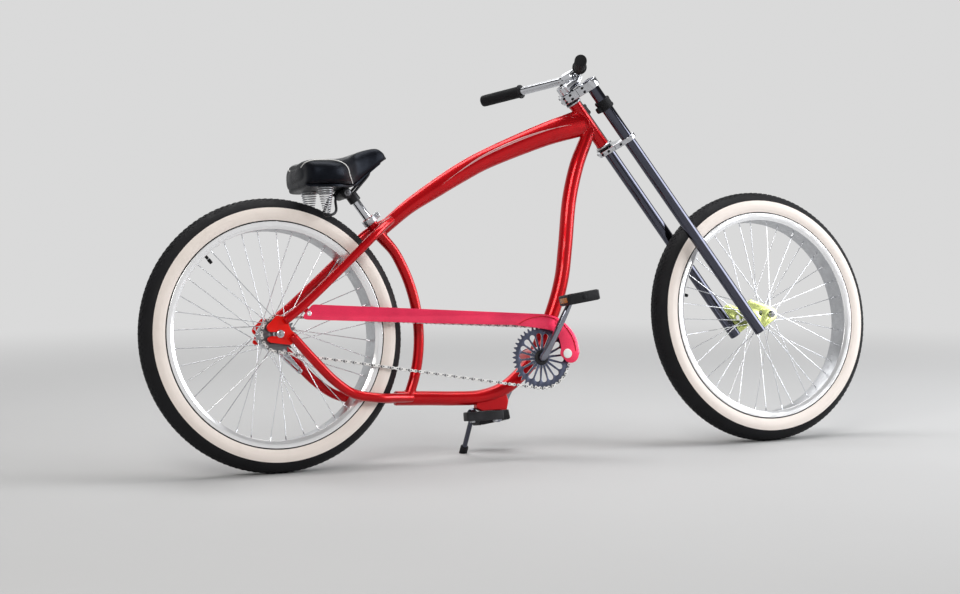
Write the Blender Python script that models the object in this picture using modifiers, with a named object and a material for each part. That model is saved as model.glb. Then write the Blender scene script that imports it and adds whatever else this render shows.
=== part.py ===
# Long-fork cruiser bicycle, leaning on its kickstand with the fork turned a little to the left.
#
# Bike frame of reference: X forward from the rear axle, Y to the rider's left, Z up along the
# bicycle's own middle plane. The empty "bike" leans that whole frame over onto the kickstand.
# Fork frame of reference: Z up along the steering axis, X ahead of it, Y to the left, with its
# origin at the middle of the head tube. All lengths are in metres.

from math import asin, atan2, cos, degrees, floor, hypot, pi, radians, sin, sqrt

import bmesh
import bpy
from mathutils import Matrix, Vector

# Stance
wheelbase = 1.434
lean = radians(8.4)
steer = radians(3.0)
crank_angle = radians(63.9)
pedal_pitch = radians(8.0)
origin_y = 0.146

# Clearances
joint_gap = 0.0003
running_gap = 0.0003
tyre_gap = 0.0003

# Wheels
tyre_radius = 0.3475
tyre_height = 0.0620
tyre_bulge = 0.0020
rim_half_width = 0.036
rim_wall = 0.0025
rim_flange_height = 0.0105
rim_box_depth = 0.0088
rim_side_slope = 0.0045
wheel_steps = 36
hub_steps = 12
spoke_count = 36
spoke_radius = 0.0010
spoke_crossings = 3
spoke_head_step = 0.0021
rim_hole_offset = 0.006

# Rear hub, sprocket and dropouts
hub_past_chain = 0.010
rear_flange_radius = 0.034
rear_flange_y = 0.031
rear_axle_radius = 0.0048
axle_stick_out = 0.009
nut_radius = 0.0095
nut_height = 0.009
dropout_thickness = 0.006
brake_arm_inset = 0.006
brake_arm_thickness = 0.0034
sprocket_teeth = 22
chain_pitch = 0.0127
chain_to_tyre = 0.007
tooth_height = 0.0042

# Cranks, chainring and pedals
bottom_bracket = (0.727, 0.258)
shell_radius = 0.027
shell_wall = 0.0035
ring_past_shell = 0.010
cup_radius = 0.0285
cup_width = 0.007
chainring_teeth = 40
chainring_thickness = 0.0022
chainring_slots = 18
slot_inner_radius = 0.021
slot_outer_centre = 0.0575
slot_end_radius = 0.0074
crank_length = 0.165
spindle_radius = 0.0105
arm_radius = 0.0085
crank_end_y = 0.100
pedal_boss_radius = 0.0145
pedal_boss_width = 0.015
pedal_length = 0.092
pedal_width = 0.062
pedal_height = 0.028
pedal_spindle_radius = 0.006
pedal_shoulder = 0.005

# Chain
chain_half_width = 0.0036
chain_plate = 0.0010
chain_half_height = 0.0042
chain_roller = 0.0032
tooth_clearance = 0.0007

# Frame tubes
head_angle = radians(55.0)
head_centre = (0.934, 0.884)
steerer_clearance = 0.0014
head_tube_wall = 0.0024
head_tube_length = 0.136
down_tube_radius = 0.0195
lower_tube_radius = 0.0190
seat_tube_radius = 0.0136
seat_tube_to_tyre = 0.0389
seat_stub_radius = 0.0152
seat_stub_above_bow = 0.0806
seat_stub_setback = 0.0060
seat_stay_radius = 0.0110
chain_stay_radius = 0.0122
stay_to_tyre = 0.0070
seat_angle = radians(55.0)
seat_bore_depth = 0.060

# Fork, in the fork frame
leg_ahead = 0.040
leg_half_spacing = 0.062
leg_radius = 0.016
leg_wall = 0.0025
leg_past_clamp = 0.0027
leg_past_axle = 0.0136
axle_ahead = 0.102
upper_clamp_height = 0.024
lower_clamp_height = 0.014
steerer_radius = 0.0127
headset_radius = 0.0215
headset_height = 0.0117
boss_radius = 0.0255
leg_boss_radius = 0.0225
bumper_radius = 0.022
bumper_length = 0.029
bumper_z = 0.012
pad_reach = 0.008
plate_thickness = 0.006
front_hub_width = 0.108
front_flange_radius = 0.024
front_flange_y = 0.032
front_axle_radius = 0.0045

# Handlebar and stem, in the fork frame
bar_radius = 0.0111
bar_ahead = 0.040
stem_head_rise = 0.0052
bar_centre_half = 0.030
bar_end_from_clamp = (-0.1135, 0.280, 0.063)
grip_radius = 0.0160
grip_length = 0.130
grip_flange_radius = 0.0190
grip_flange_width = 0.005
stem_radius = 0.0195
stem_half_width = 0.024
stem_cap_radius = 0.0190
stem_height = 0.024

# Kickstand, pivot in the bike frame
kick_plate_drop = 0.0185
kick_plate_thickness = 0.024
stand_pivot_from_tube = (-0.014, 0.026, -0.043)
stand_axis_tilt = radians(45.0)
stand_past_centre = radians(4.0)
stand_radius = 0.0065
stand_foot_radius = 0.0105
stand_foot_length = 0.024
stand_hub_radius = 0.013
stand_hub_width = 0.018

# Saddle and seat post
post_radius = 0.0111
post_inserted = 0.050
post_exposed = 0.074
saddle_clamp_radius = 0.0140
saddle_clamp_width = 0.062
saddle_clamp_setback = 0.0231
saddle_clamp_rise = 0.0029
rail_radius = 0.0034
rail_half_gap = 0.022
spring_wire = 0.0014
spring_turns = 5
spring_top_radius = 0.0175
spring_bottom_radius = 0.0070
spring_behind_clamp = 0.0690
spring_half_spacing = 0.062
spring_foot_drop = 0.0550
saddle_base_rise = 0.0120
saddle_half_width = 0.113

# Chain guard
guard_y = 0.0600
guard_thickness = 0.0016
guard_boss_radius = 0.006
guard_cap_radius = 0.0125
guard_cap_height = 0.003
guard_cap_from_crank = (0.0695, 0.007)
guard_boss_clearance = 0.0094
guard_boss_angle = radians(63.4)
guard_tab_from_axle = (0.080, 0.0485)
guard_tab_thickness = 0.003

# Sizes that follow from those above
rim_radius = tyre_radius - tyre_height
rim_bed_radius = rim_radius - rim_flange_height
rim_inner_radius = rim_bed_radius - rim_box_depth
rim_flat_half = rim_half_width - rim_side_slope
tyre_half_width = rim_half_width + tyre_bulge
rear_axle_z = tyre_radius
seat_bow_radius = tyre_radius + seat_tube_to_tyre + seat_tube_radius
chain_line = tyre_half_width + chain_to_tyre
rear_hub_width = 2 * (chain_line + hub_past_chain)
shell_width = 2 * (chain_line - ring_past_shell)
plate_centre_y = rear_hub_width / 2 + dropout_thickness / 2
brake_arm_y = rear_hub_width / 2 - brake_arm_inset
head_tube_radius = steerer_radius + steerer_clearance + head_tube_wall
headset_top = head_tube_length / 2 + joint_gap + headset_height + running_gap
upper_clamp_top = headset_top + upper_clamp_height
leg_top = upper_clamp_top + leg_past_clamp
bar_height = upper_clamp_top + stem_head_rise + stem_radius
bar_end = (
    bar_ahead + bar_end_from_clamp[0],
    bar_end_from_clamp[1],
    bar_height + bar_end_from_clamp[2],
)

# Finishes: colour, roughness, metallic
finishes = {
    "candy_red": ((0.55, 0.01, 0.02), 0.22, 0.6),
    "guard_red": ((0.72, 0.03, 0.07), 0.28, 0.3),
    "dropout_red": ((0.75, 0.03, 0.01), 0.3, 0.2),
    "chrome": ((0.80, 0.81, 0.84), 0.08, 1.0),
    "silver": ((0.62, 0.63, 0.65), 0.3, 1.0),
    "steel": ((0.35, 0.35, 0.37), 0.4, 1.0),
    "black_metal": ((0.02, 0.02, 0.024), 0.4, 0.5),
    "tyre": ((0.012, 0.012, 0.014), 0.75, 0.0),
    "rubber": ((0.015, 0.015, 0.016), 0.65, 0.0),
    "plastic": ((0.02, 0.02, 0.022), 0.35, 0.0),
    "vinyl": ((0.01, 0.012, 0.02), 0.35, 0.0),
    "gold_lime": ((0.62, 0.72, 0.30), 0.25, 0.9),
    "white": ((0.85, 0.85, 0.83), 0.35, 0.0),
}


# Scene and collections

for old in list(bpy.data.objects):
    bpy.data.objects.remove(old, do_unlink=True)
parts = bpy.data.collections.new("chopper_bike")
guides = bpy.data.collections.new("chopper_bike_cutters")
bpy.context.scene.collection.children.link(parts)
bpy.context.scene.collection.children.link(guides)


def finish_material(name, kind):
    colour, roughness, metallic = finishes[kind]
    material = bpy.data.materials.new(name)
    material.use_nodes = True
    shader = material.node_tree.nodes["Principled BSDF"]
    shader.inputs["Base Color"].default_value = (*colour, 1.0)
    shader.inputs["Roughness"].default_value = roughness
    shader.inputs["Metallic"].default_value = metallic
    material.diffuse_color = (*colour, 1.0)
    return material


def add_empty(name, location, parent=None, rotation=(0.0, 0.0, 0.0)):
    empty = bpy.data.objects.new(name, None)
    empty.empty_display_size = 0.05
    parts.objects.link(empty)
    empty.parent = parent
    empty.location = location
    empty.rotation_euler = rotation
    return empty


def add_part(name, data, kind, parent, location=(0.0, 0.0, 0.0), rotation=(0.0, 0.0, 0.0)):
    part = bpy.data.objects.new(name, data)
    if kind is None:
        guides.objects.link(part)
        part.hide_render = True
        part.display_type = "WIRE"
    else:
        parts.objects.link(part)
        data.materials.clear()
        data.materials.append(finish_material(name, kind))
    part.parent = parent
    part.location = location
    part.rotation_euler = rotation
    return part


def shade_round(mesh):
    mesh.shade_smooth()
    mesh.set_sharp_from_angle(angle=radians(35.0))


def mesh_from(work, name):
    mesh = bpy.data.meshes.new(name)
    work.to_mesh(mesh)
    work.free()
    shade_round(mesh)
    return mesh


def clear_radius(radius, sides, gap=joint_gap):
    """Corner radius of a faceted bore whose flats clear a round bar by the gap."""
    return (radius + gap) / cos(pi / sides)


def toward(direction):
    """Rotation that turns a local Z axis to the direction."""
    return Vector(direction).to_track_quat("Z", "Y").to_euler()


def rod(name, kind, parent, start, end, radius, sides=16, end_radius=None):
    """Round bar, straight or tapered, from start to end."""
    start = Vector(start)
    end = Vector(end)
    work = bmesh.new()
    bmesh.ops.create_cone(
        work,
        cap_ends=True,
        segments=sides,
        radius1=radius,
        radius2=radius if end_radius is None else end_radius,
        depth=(end - start).length,
    )
    middle = (start + end) / 2
    return add_part(name, mesh_from(work, name), kind, parent, middle, toward(end - start))


def block(name, kind, parent, centre, size, rotation=(0.0, 0.0, 0.0), edge=0.0):
    """Box of a given size, with rounded edges where edge is given."""
    work = bmesh.new()
    bmesh.ops.create_cube(work, size=1.0)
    bmesh.ops.scale(work, vec=size, verts=work.verts)
    part = add_part(name, mesh_from(work, name), kind, parent, centre, rotation)
    if edge:
        bevel = part.modifiers.new("rounded_edges", "BEVEL")
        bevel.width = edge
        bevel.segments = 1
    return part


def turned(name, kind, parent, profile, centre, axis, steps):
    """Lathe piece: profile points are (radius, height), down the outside and up the inside."""
    mesh = bpy.data.meshes.new(name)
    points = [(radius, 0.0, height) for radius, height in profile]
    closed = [(i, (i + 1) % len(points)) for i in range(len(points))]
    mesh.from_pydata(points, closed, [])
    part = add_part(name, mesh, kind, parent, centre, toward(axis))
    screw = part.modifiers.new("turned", "SCREW")
    screw.steps = steps
    screw.render_steps = steps
    screw.use_merge_vertices = True
    screw.merge_threshold = 0.00001
    return part


def smooth_path(points, steps):
    """Curve through the points; each may carry a radius as its last number."""
    given = [Vector(p) for p in points]
    ends = [2 * given[0] - given[1], *given, 2 * given[-1] - given[-2]]
    path = []
    for i in range(len(given) - 1):
        a, b, c, d = ends[i : i + 4]
        for step in range(steps):
            t = step / steps
            bend = 2 * a - 5 * b + 4 * c - d
            path.append(0.5 * (2 * b + (c - a) * t + bend * t**2 + (3 * b - a - 3 * c + d) * t**3))
    path.append(given[-1])
    return path


def bowed(start, end, run):
    """Points from start to end in the middle plane: share of the way, and bow to the left of it."""
    way = Vector(end) - Vector(start)
    across = Vector((-way.y, way.x)).normalized()
    points = []
    for share, bow, *sizes in run:
        spot = Vector(start) + way * share + across * bow
        points.append((spot.x, 0.0, spot.y, *sizes))
    return points


def tube(name, kind, parent, path, sides=12, grow=0.0):
    """Round tube along a path of (x, y, z, radius) points."""
    curve = bpy.data.curves.new(name, "CURVE")
    curve.dimensions = "3D"
    first_radius = path[0][3] + grow
    curve.bevel_depth = first_radius
    curve.bevel_resolution = (sides - 4) // 2
    curve.use_fill_caps = True
    curve.render_resolution_u = 0
    spline = curve.splines.new("POLY")
    spline.points.add(len(path) - 1)
    for point, place in zip(spline.points, path):
        point.co = (place[0], place[1], place[2], 1.0)
        point.radius = (place[3] + grow) / first_radius
    return add_part(name, curve, kind, parent)


def as_mesh(part):
    """The same piece as a welded mesh, ready to be cut."""
    bpy.context.view_layer.update()
    evaluated = part.evaluated_get(bpy.context.evaluated_depsgraph_get())
    mesh = bpy.data.meshes.new_from_object(evaluated)
    work = bmesh.new()
    work.from_mesh(mesh)
    bmesh.ops.remove_doubles(work, verts=work.verts, dist=0.00001)
    bmesh.ops.recalc_face_normals(work, faces=work.faces)
    work.to_mesh(mesh)
    work.free()
    shade_round(mesh)
    name = part.name
    home = part.users_collection[0]
    solid = bpy.data.objects.new(name + "_solid", mesh)
    home.objects.link(solid)
    solid.parent = part.parent
    solid.location = part.location
    solid.rotation_euler = part.rotation_euler
    solid.hide_render = part.hide_render
    solid.display_type = part.display_type
    bpy.data.objects.remove(part, do_unlink=True)
    solid.name = name
    return solid


def plate(name, kind, parent, outlines, thickness, place, rotation):
    """Flat piece cut to one outline, with any further outlines as holes in it."""
    curve = bpy.data.curves.new(name, "CURVE")
    curve.dimensions = "2D"
    curve.fill_mode = "BOTH"
    curve.extrude = thickness / 2
    for outline in outlines:
        spline = curve.splines.new("POLY")
        spline.points.add(len(outline) - 1)
        spline.use_cyclic_u = True
        for point, (u, v) in zip(spline.points, outline):
            point.co = (u, v, 0.0, 1.0)
    return as_mesh(add_part(name, curve, kind, parent, place, rotation))


def combine(target, tool, operation):
    """Cut, join or trim the target with a guide shape."""
    step = target.modifiers.new(operation.lower(), "BOOLEAN")
    step.operation = operation
    step.solver = "EXACT"
    step.object = tool
    return target


def cut(target, tool):
    return combine(target, tool, "DIFFERENCE")


def fuse(target, tool):
    return combine(target, tool, "UNION")


def arc(centre, radius, start, end, count):
    """Points on a circular arc, angles in radians, both ends included."""
    return [
        (
            centre[0] + radius * cos(start + (end - start) * i / (count - 1)),
            centre[1] + radius * sin(start + (end - start) * i / (count - 1)),
        )
        for i in range(count)
    ]


# Side view plates lie in the bike's middle plane: local X forward, local Y up.
side_on = (pi / 2, 0.0, 0.0)
# Lathe pieces on an axle: local Z to the left, local X forward.
left = Vector((0.0, 1.0, 0.0))
side_names = {-1: "right", 1: "left"}


# Bike frame, fork frame and the axes of what turns

bike = add_empty("bike", (-wheelbase / 2, -origin_y, 0.0), None, (-lean, 0.0, 0.0))
rear_wheel = add_empty("rear_wheel_axis", (0.0, 0.0, rear_axle_z), bike)
driver = add_empty("driver_axis", (0.0, 0.0, rear_axle_z), bike)
crank_axis = add_empty(
    "crank_axis", (bottom_bracket[0], 0.0, bottom_bracket[1]), bike, (0.0, -crank_angle, 0.0)
)
steering_axis = add_empty(
    "steering_axis", (head_centre[0], 0.0, head_centre[1]), bike, (0.0, head_angle - pi / 2, 0.0)
)
fork = add_empty("fork_turn", (0.0, 0.0, 0.0), steering_axis, (0.0, 0.0, steer))


def front_axle_height():
    """Height of the front axle in the fork frame that sets the tyre on the floor."""
    bpy.context.view_layer.update()
    to_world = fork.matrix_world
    wheel_normal = to_world.to_3x3() @ left
    axle_above_floor = tyre_radius * sqrt(1.0 - wheel_normal.z**2)
    level = (to_world @ Vector((axle_ahead, 0.0, 0.0))).z
    rise = (to_world.to_3x3() @ Vector((0.0, 0.0, 1.0))).z
    return (axle_above_floor - level) / rise


def spin_to_floor():
    """Turn of the front wheel that sets one of the tyre's corners at its lowest point."""
    down = fork.matrix_world.to_3x3().inverted() @ Vector((0.0, 0.0, -1.0))
    step = 2 * pi / wheel_steps
    return (atan2(-down.z, down.x) + pi) % step


front_axle_z = front_axle_height()
leg_bottom = front_axle_z - leg_past_axle
front_wheel = add_empty(
    "front_wheel_axis", (axle_ahead, 0.0, front_axle_z), fork, (0.0, spin_to_floor(), 0.0)
)


# Wheels: tyre, rim, and a hub laced to the rim


def tyre_profile():
    bead = rim_half_width - rim_wall - tyre_gap
    crown = tyre_radius
    half = [
        (rim_radius + tyre_gap, bead),
        (crown - tyre_height * 0.645, tyre_half_width),
        (crown - tyre_height * 0.202, tyre_half_width * 0.697),
    ]
    seat = rim_bed_radius + tyre_gap
    foot = bead - 0.0015
    left_side = [(radius, width) for radius, width in half]
    right_side = [(radius, -width) for radius, width in reversed(half)]
    return [(seat, foot), *left_side, (crown, 0.0), *right_side, (seat, -foot)]


def rim_profile():
    inner_wall = rim_half_width - rim_wall
    return [
        (rim_bed_radius, inner_wall - 0.0015),
        (rim_bed_radius, -inner_wall + 0.0015),
        (rim_radius, -inner_wall),
        (rim_radius, -rim_half_width),
        (rim_inner_radius, -rim_flat_half),
        (rim_inner_radius, rim_flat_half),
        (rim_radius, rim_half_width),
        (rim_radius, inner_wall),
    ]


def spoke_set(name, parent, flange_radius, flange_y):
    """All spokes of a wheel, from the flange holes to the rim, as one guide shape."""
    work = bmesh.new()
    per_side = spoke_count // 2
    step = 2 * pi / per_side
    tip_radius = rim_inner_radius * cos(pi / wheel_steps) - 1.5 * running_gap
    for side in (-1, 1):
        shift = pi / wheel_steps + (0.0 if side > 0 else step / 2)
        for i in range(per_side):
            trailing = 1 if i % 2 else -1
            at_hub = i * step + shift
            at_rim = at_hub + trailing * spoke_crossings * step
            root = flange_radius - 0.006
            hub_y = side * (flange_y + trailing * spoke_head_step)
            start = Vector((root * cos(at_hub), root * sin(at_hub), hub_y))
            end = Vector((tip_radius * cos(at_rim), tip_radius * sin(at_rim), side * rim_hole_offset))
            turn = (end - start).to_track_quat("Z", "Y").to_matrix().to_4x4()
            bmesh.ops.create_cone(
                work,
                cap_ends=True,
                segments=3,
                radius1=spoke_radius,
                radius2=spoke_radius,
                depth=(end - start).length,
                matrix=Matrix.Translation((start + end) / 2) @ turn,
            )
    return add_part(name, mesh_from(work, name), None, parent, (0, 0, 0), toward(left))


def build_wheel(side_name, axis, hub_profile, flange_radius, flange_y, hub_finish):
    centre = (0.0, 0.0, 0.0)
    turned(side_name + "_tyre", "tyre", axis, tyre_profile(), centre, left, wheel_steps)
    turned(side_name + "_rim", "chrome", axis, rim_profile(), centre, left, wheel_steps)
    hub = turned(side_name + "_hub", hub_finish, axis, hub_profile, centre, left, hub_steps)
    fuse(hub, spoke_set(side_name + "_spokes", axis, flange_radius, flange_y))
    return hub


rear_end = rear_hub_width / 2 - running_gap
hub_left_end = brake_arm_y - brake_arm_thickness / 2 - 2 * running_gap
rear_bore = rear_axle_radius + running_gap
driver_radius = 0.0165
rear_hub_profile = [
    (0.0200, hub_left_end),
    (0.0225, rear_flange_y + 0.0030),
    (rear_flange_radius, rear_flange_y + 0.0026),
    (rear_flange_radius, rear_flange_y - 0.0026),
    (0.0200, rear_flange_y - 0.0045),
    (0.0200, -rear_flange_y + 0.0045),
    (rear_flange_radius, -rear_flange_y + 0.0026),
    (rear_flange_radius, -rear_flange_y - 0.0026),
    (driver_radius, -rear_flange_y - 0.0050),
    (driver_radius, -rear_end),
    (rear_bore, -rear_end),
    (rear_bore, hub_left_end),
]
build_wheel(
    "rear", rear_wheel, rear_hub_profile, rear_flange_radius, rear_flange_y, "silver"
)

front_end = front_hub_width / 2 - running_gap
front_bore = front_axle_radius + running_gap
front_hub_profile = [
    (0.0110, front_end),
    (0.0150, front_flange_y + 0.0030),
    (front_flange_radius, front_flange_y + 0.0026),
    (front_flange_radius, front_flange_y - 0.0026),
    (0.0135, front_flange_y - 0.0045),
    (0.0135, -front_flange_y + 0.0045),
    (front_flange_radius, -front_flange_y + 0.0026),
    (front_flange_radius, -front_flange_y - 0.0026),
    (0.0150, -front_flange_y - 0.0030),
    (0.0110, -front_end),
    (front_bore, -front_end),
    (front_bore, front_end),
]
build_wheel(
    "front", front_wheel, front_hub_profile, front_flange_radius, front_flange_y, "silver"
)


def axle_with_nuts(name, parent, centre, radius, half_width):
    """Threaded axle with its two hexagon nuts drawn up on it."""
    reach = half_width + nut_height + axle_stick_out
    centre = Vector(centre)
    axle = rod(name, "steel", parent, centre - left * reach, centre + left * reach, radius, 8)
    for side in (-1, 1):
        inner = centre + left * side * half_width
        outer = centre + left * side * (half_width + nut_height)
        nut = rod(name + "_nut_" + side_names[side], None, parent, inner, outer, nut_radius, 6)
        nut.rotation_euler.rotate_axis("Z", 0.2)
        fuse(axle, nut)
    return axle


rear_nut_seat = rear_hub_width / 2 + dropout_thickness + joint_gap
axle_with_nuts(
    "rear_axle", bike, (0.0, 0.0, rear_axle_z), rear_axle_radius, rear_nut_seat
)


# Sprocket, chainring and chain


def pitch_radius(teeth):
    return chain_pitch / (2 * sin(pi / teeth))


def toothed_outline(teeth, first_tooth):
    """Sprocket outline: each tooth stands between two chain rollers."""
    pitch = pitch_radius(teeth)
    root = pitch - chain_half_height - tooth_clearance
    tip = pitch + tooth_height
    half_root = (chain_pitch / 2 - chain_roller) / pitch - tooth_clearance / root
    outline = []
    for i in range(teeth):
        middle = first_tooth + 2 * pi * i / teeth
        for radius, offset in ((root, -half_root), (tip, 0.0), (root, half_root)):
            outline.append((radius * cos(middle + offset), radius * sin(middle + offset)))
    return outline


def ring_outline(radius, count):
    return arc((0.0, 0.0), radius, 0.0, 2 * pi * (count - 1) / count, count)


def teardrop_outline(angle):
    """Lightening slot, pointed toward the crank and round at its outer end."""
    spread = pi / 2 + asin(slot_end_radius / (slot_outer_centre - slot_inner_radius))
    end = arc((slot_outer_centre, 0.0), slot_end_radius, -spread, spread, 4)
    drop = [(slot_inner_radius, 0.0), *end]
    return [(u * cos(angle) - v * sin(angle), u * sin(angle) + v * cos(angle)) for u, v in drop]


sprocket_pitch = pitch_radius(sprocket_teeth)
chainring_pitch = pitch_radius(chainring_teeth)
chain_run = (bottom_bracket[0], bottom_bracket[1] - rear_axle_z)
axle_distance = hypot(*chain_run)
run_angle = atan2(chain_run[1], chain_run[0])
wrap_angle = asin((chainring_pitch - sprocket_pitch) / axle_distance)
ring_top = run_angle + pi / 2 + wrap_angle
ring_bottom = run_angle - pi / 2 - wrap_angle


def wrap_rollers(centre, teeth, middle, wrap):
    """Rollers of the links that lie round a toothed wheel, clockwise as the chain runs."""
    radius = pitch_radius(teeth)
    step = 2 * pi / teeth
    links = floor(wrap / step)
    angles = [middle + step * (links / 2 - k) for k in range(links + 1)]
    return [
        (Vector(centre) + radius * Vector((cos(a), sin(a))), Vector((cos(a), sin(a))))
        for a in angles
    ]


def straight_rollers(start, end):
    """Rollers between the last one on a wheel and the first one on the next, ends left out."""
    links = round((end[0] - start[0]).length / chain_pitch)
    return [
        (start[0].lerp(end[0], i / links), start[1].lerp(end[1], i / links).normalized())
        for i in range(1, links)
    ]


def chain_rollers():
    """Place and outward direction of every roller, round the whole chain."""
    ring = wrap_rollers(
        bottom_bracket, chainring_teeth, run_angle, ring_top - ring_bottom
    )
    rear = wrap_rollers(
        (0.0, rear_axle_z), sprocket_teeth, run_angle + pi, 2 * pi - (ring_top - ring_bottom)
    )
    under = straight_rollers(ring[-1], rear[0])
    over = straight_rollers(rear[-1], ring[0])
    return ring + under + rear + over


def build_chain(name):
    """Closed chain of links, each with its two side plates and the window between its rollers."""
    work = bmesh.new()
    rollers = chain_rollers()
    rail = chain_half_width - 2 * chain_plate

    def row(place, out, widths):
        return [
            [
                work.verts.new((spot.x, -chain_line + y, spot.y))
                for y in widths
            ]
            for spot in (place - out * chain_half_height, place + out * chain_half_height)
        ]

    outer = [row(place, out, (-chain_half_width, chain_half_width)) for place, out in rollers]
    inner = []
    for i, (place, out) in enumerate(rollers):
        next_place, next_out = rollers[(i + 1) % len(rollers)]
        span = (next_place - place).length
        for share in (chain_roller / span, 1.0 - chain_roller / span):
            middle = place.lerp(next_place, share)
            inner.append(row(middle, out.lerp(next_out, share), (-rail, rail)))

    for i in range(len(rollers)):
        low, high = outer[i]
        next_low, next_high = outer[(i + 1) % len(rollers)]
        before_low, before_high = inner[2 * i - 1]
        near_low, near_high = inner[2 * i]
        far_low, far_high = inner[2 * i + 1]
        for k in (0, 1):
            work.faces.new((low[k], next_low[k], next_high[k], high[k]))
            work.faces.new((near_low[k], far_low[k], far_high[k], near_high[k]))
            for here, ahead, near, far in (
                (low, next_low, near_low, far_low),
                (high, next_high, near_high, far_high),
            ):
                work.faces.new((here[k], ahead[k], far[k], near[k]))
        for here, before, near in ((low, before_low, near_low), (high, before_high, near_high)):
            work.faces.new((here[0], here[1], near[1], near[0]))
            work.faces.new((here[0], here[1], before[1], before[0]))
        work.faces.new((near_low[0], near_low[1], near_high[1], near_high[0]))
        work.faces.new((far_low[0], far_low[1], far_high[1], far_high[0]))
    bmesh.ops.recalc_face_normals(work, faces=work.faces)
    return add_part(name, mesh_from(work, name), "silver", bike)


build_chain("chain")


def first_tooth(middle, teeth, wrap):
    """Angle of a tooth that stands in a window of the chain."""
    step = 2 * pi / teeth
    return middle + step * (floor(wrap / step) / 2 - 0.5)


ring_tooth = first_tooth(run_angle, chainring_teeth, ring_top - ring_bottom)
rear_tooth = first_tooth(run_angle + pi, sprocket_teeth, 2 * pi - (ring_top - ring_bottom))

sprocket_bore = clear_radius(driver_radius, 12, running_gap)
sprocket = plate(
    "rear_sprocket",
    "black_metal",
    driver,
    [toothed_outline(sprocket_teeth, rear_tooth), ring_outline(sprocket_bore, 12)],
    chainring_thickness,
    (0.0, -chain_line, 0.0),
    side_on,
)
chainring = plate(
    "chainring",
    "black_metal",
    crank_axis,
    [
        toothed_outline(chainring_teeth, ring_tooth - crank_angle),
        *[teardrop_outline(2 * pi * (i + 0.5) / chainring_slots) for i in range(chainring_slots)],
        ring_outline(clear_radius(spindle_radius, 12), 12),
    ],
    chainring_thickness,
    (0.0, -chain_line, 0.0),
    side_on,
)


# One-piece crank and pedals. The crank frame's X axis points along the right arm.


def crank_path():
    knee = 0.018
    arm = [
        (0.0, shell_width / 2 + 0.004, spindle_radius),
        (0.0, chain_line + 0.0075, spindle_radius),
        (0.006, chain_line + 0.0150, spindle_radius),
        (knee, chain_line + 0.0215, spindle_radius - 0.0008),
        (0.060, 0.0785, arm_radius + 0.0004),
        (0.120, 0.0910, arm_radius),
        (crank_length, crank_end_y, arm_radius - 0.0020),
    ]
    right = [(along, -out, 0.0, radius) for along, out, radius in reversed(arm)]
    opposite = [(-along, out, 0.0, radius) for along, out, radius in arm]
    return right + opposite


crank = as_mesh(tube("crank", "chrome", crank_axis, crank_path(), 8))
for side in (-1, 1):
    pedal_x = -side * crank_length
    boss_in = (pedal_x, side * (crank_end_y - pedal_boss_width / 2), 0.0)
    boss_out = (pedal_x, side * (crank_end_y + pedal_boss_width / 2), 0.0)
    fuse(crank, rod("pedal_boss_" + side_names[side], None, crank_axis, boss_in, boss_out,
                    pedal_boss_radius, 12))


def build_pedal(side):
    """Platform pedal on its spindle, in a frame that turns on the spindle's axis."""
    name = side_names[side]
    axis = add_empty(
        "pedal_axis_" + name,
        (-side * crank_length, 0.0, 0.0),
        crank_axis,
        (0.0, crank_angle - pedal_pitch, 0.0),
    )
    face = crank_end_y + pedal_boss_width / 2 + joint_gap
    shoulder = face + pedal_shoulder
    body_in = shoulder + running_gap
    body_out = body_in + pedal_width
    spindle_end = body_out - 0.006
    spindle = rod("pedal_spindle_" + name, "chrome", axis, (0, side * face, 0),
                  (0, side * shoulder, 0), 0.0095, 6)
    fuse(spindle, rod("spindle_shaft_" + name, None, axis, (0, side * (face + 0.001), 0),
                      (0, side * spindle_end, 0), pedal_spindle_radius, 10))
    body = block(
        "pedal_" + name,
        "plastic",
        axis,
        (0.0, side * (body_in + body_out) / 2, 0.0),
        (pedal_length, pedal_width, pedal_height),
        edge=0.003,
    )
    window = (pedal_length - 0.052) / 2
    for end in (-1, 1):
        middle = end * (pedal_length / 2 - 0.010 - window / 2)
        cut(body, block(f"pedal_window_{name}_{end}", None, axis,
                        (middle, side * (body_in + body_out) / 2, 0.0),
                        (window, pedal_width - 0.016, pedal_height * 2)))
    bore = clear_radius(pedal_spindle_radius, 10, running_gap)
    cut(body, rod("pedal_bore_" + name, None, axis, (0, side * (body_in - 0.01), 0),
                  (0, side * (spindle_end + running_gap), 0), bore, 10))
    return axis


pedal_axes = {side: build_pedal(side) for side in (-1, 1)}


# Main frame tubes


def on_bow(degrees, outward=0.0):
    """Place (x, z) on the seat tube's bow round the rear axle, or a distance outside it."""
    radius = seat_bow_radius + outward
    return (radius * cos(radians(degrees)), rear_axle_z + radius * sin(radians(degrees)))


fork_up = Vector((-cos(head_angle), 0.0, sin(head_angle)))
head = Vector((head_centre[0], 0.0, head_centre[1]))


def head_point(along):
    """Point on the steering axis, measured up from the middle of the head tube."""
    return head + fork_up * along


def head_sleeve(name, radius, reach):
    return rod(name, None, bike, head_point(-reach), head_point(reach), radius, 24)


half_head = head_tube_length / 2
head_bore = head_tube_radius - head_tube_wall
turned(
    "head_tube",
    "candy_red",
    bike,
    [
        (head_tube_radius + 0.0012, half_head),
        (head_tube_radius, half_head - 0.008),
        (head_tube_radius, -half_head + 0.008),
        (head_tube_radius + 0.0012, -half_head),
        (head_bore, -half_head),
        (head_bore, half_head),
    ],
    head,
    fork_up,
    16,
)
head_cope = head_sleeve("head_cope", head_tube_radius + joint_gap, 0.2)
ahead_of_head = Vector((sin(head_angle), 0.0, cos(head_angle)))
head_front = block(
    "head_front",
    None,
    bike,
    head + ahead_of_head * 0.05,
    (0.1, 0.1, 0.3),
    (0.0, head_angle - pi / 2, 0.0),
)

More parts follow.
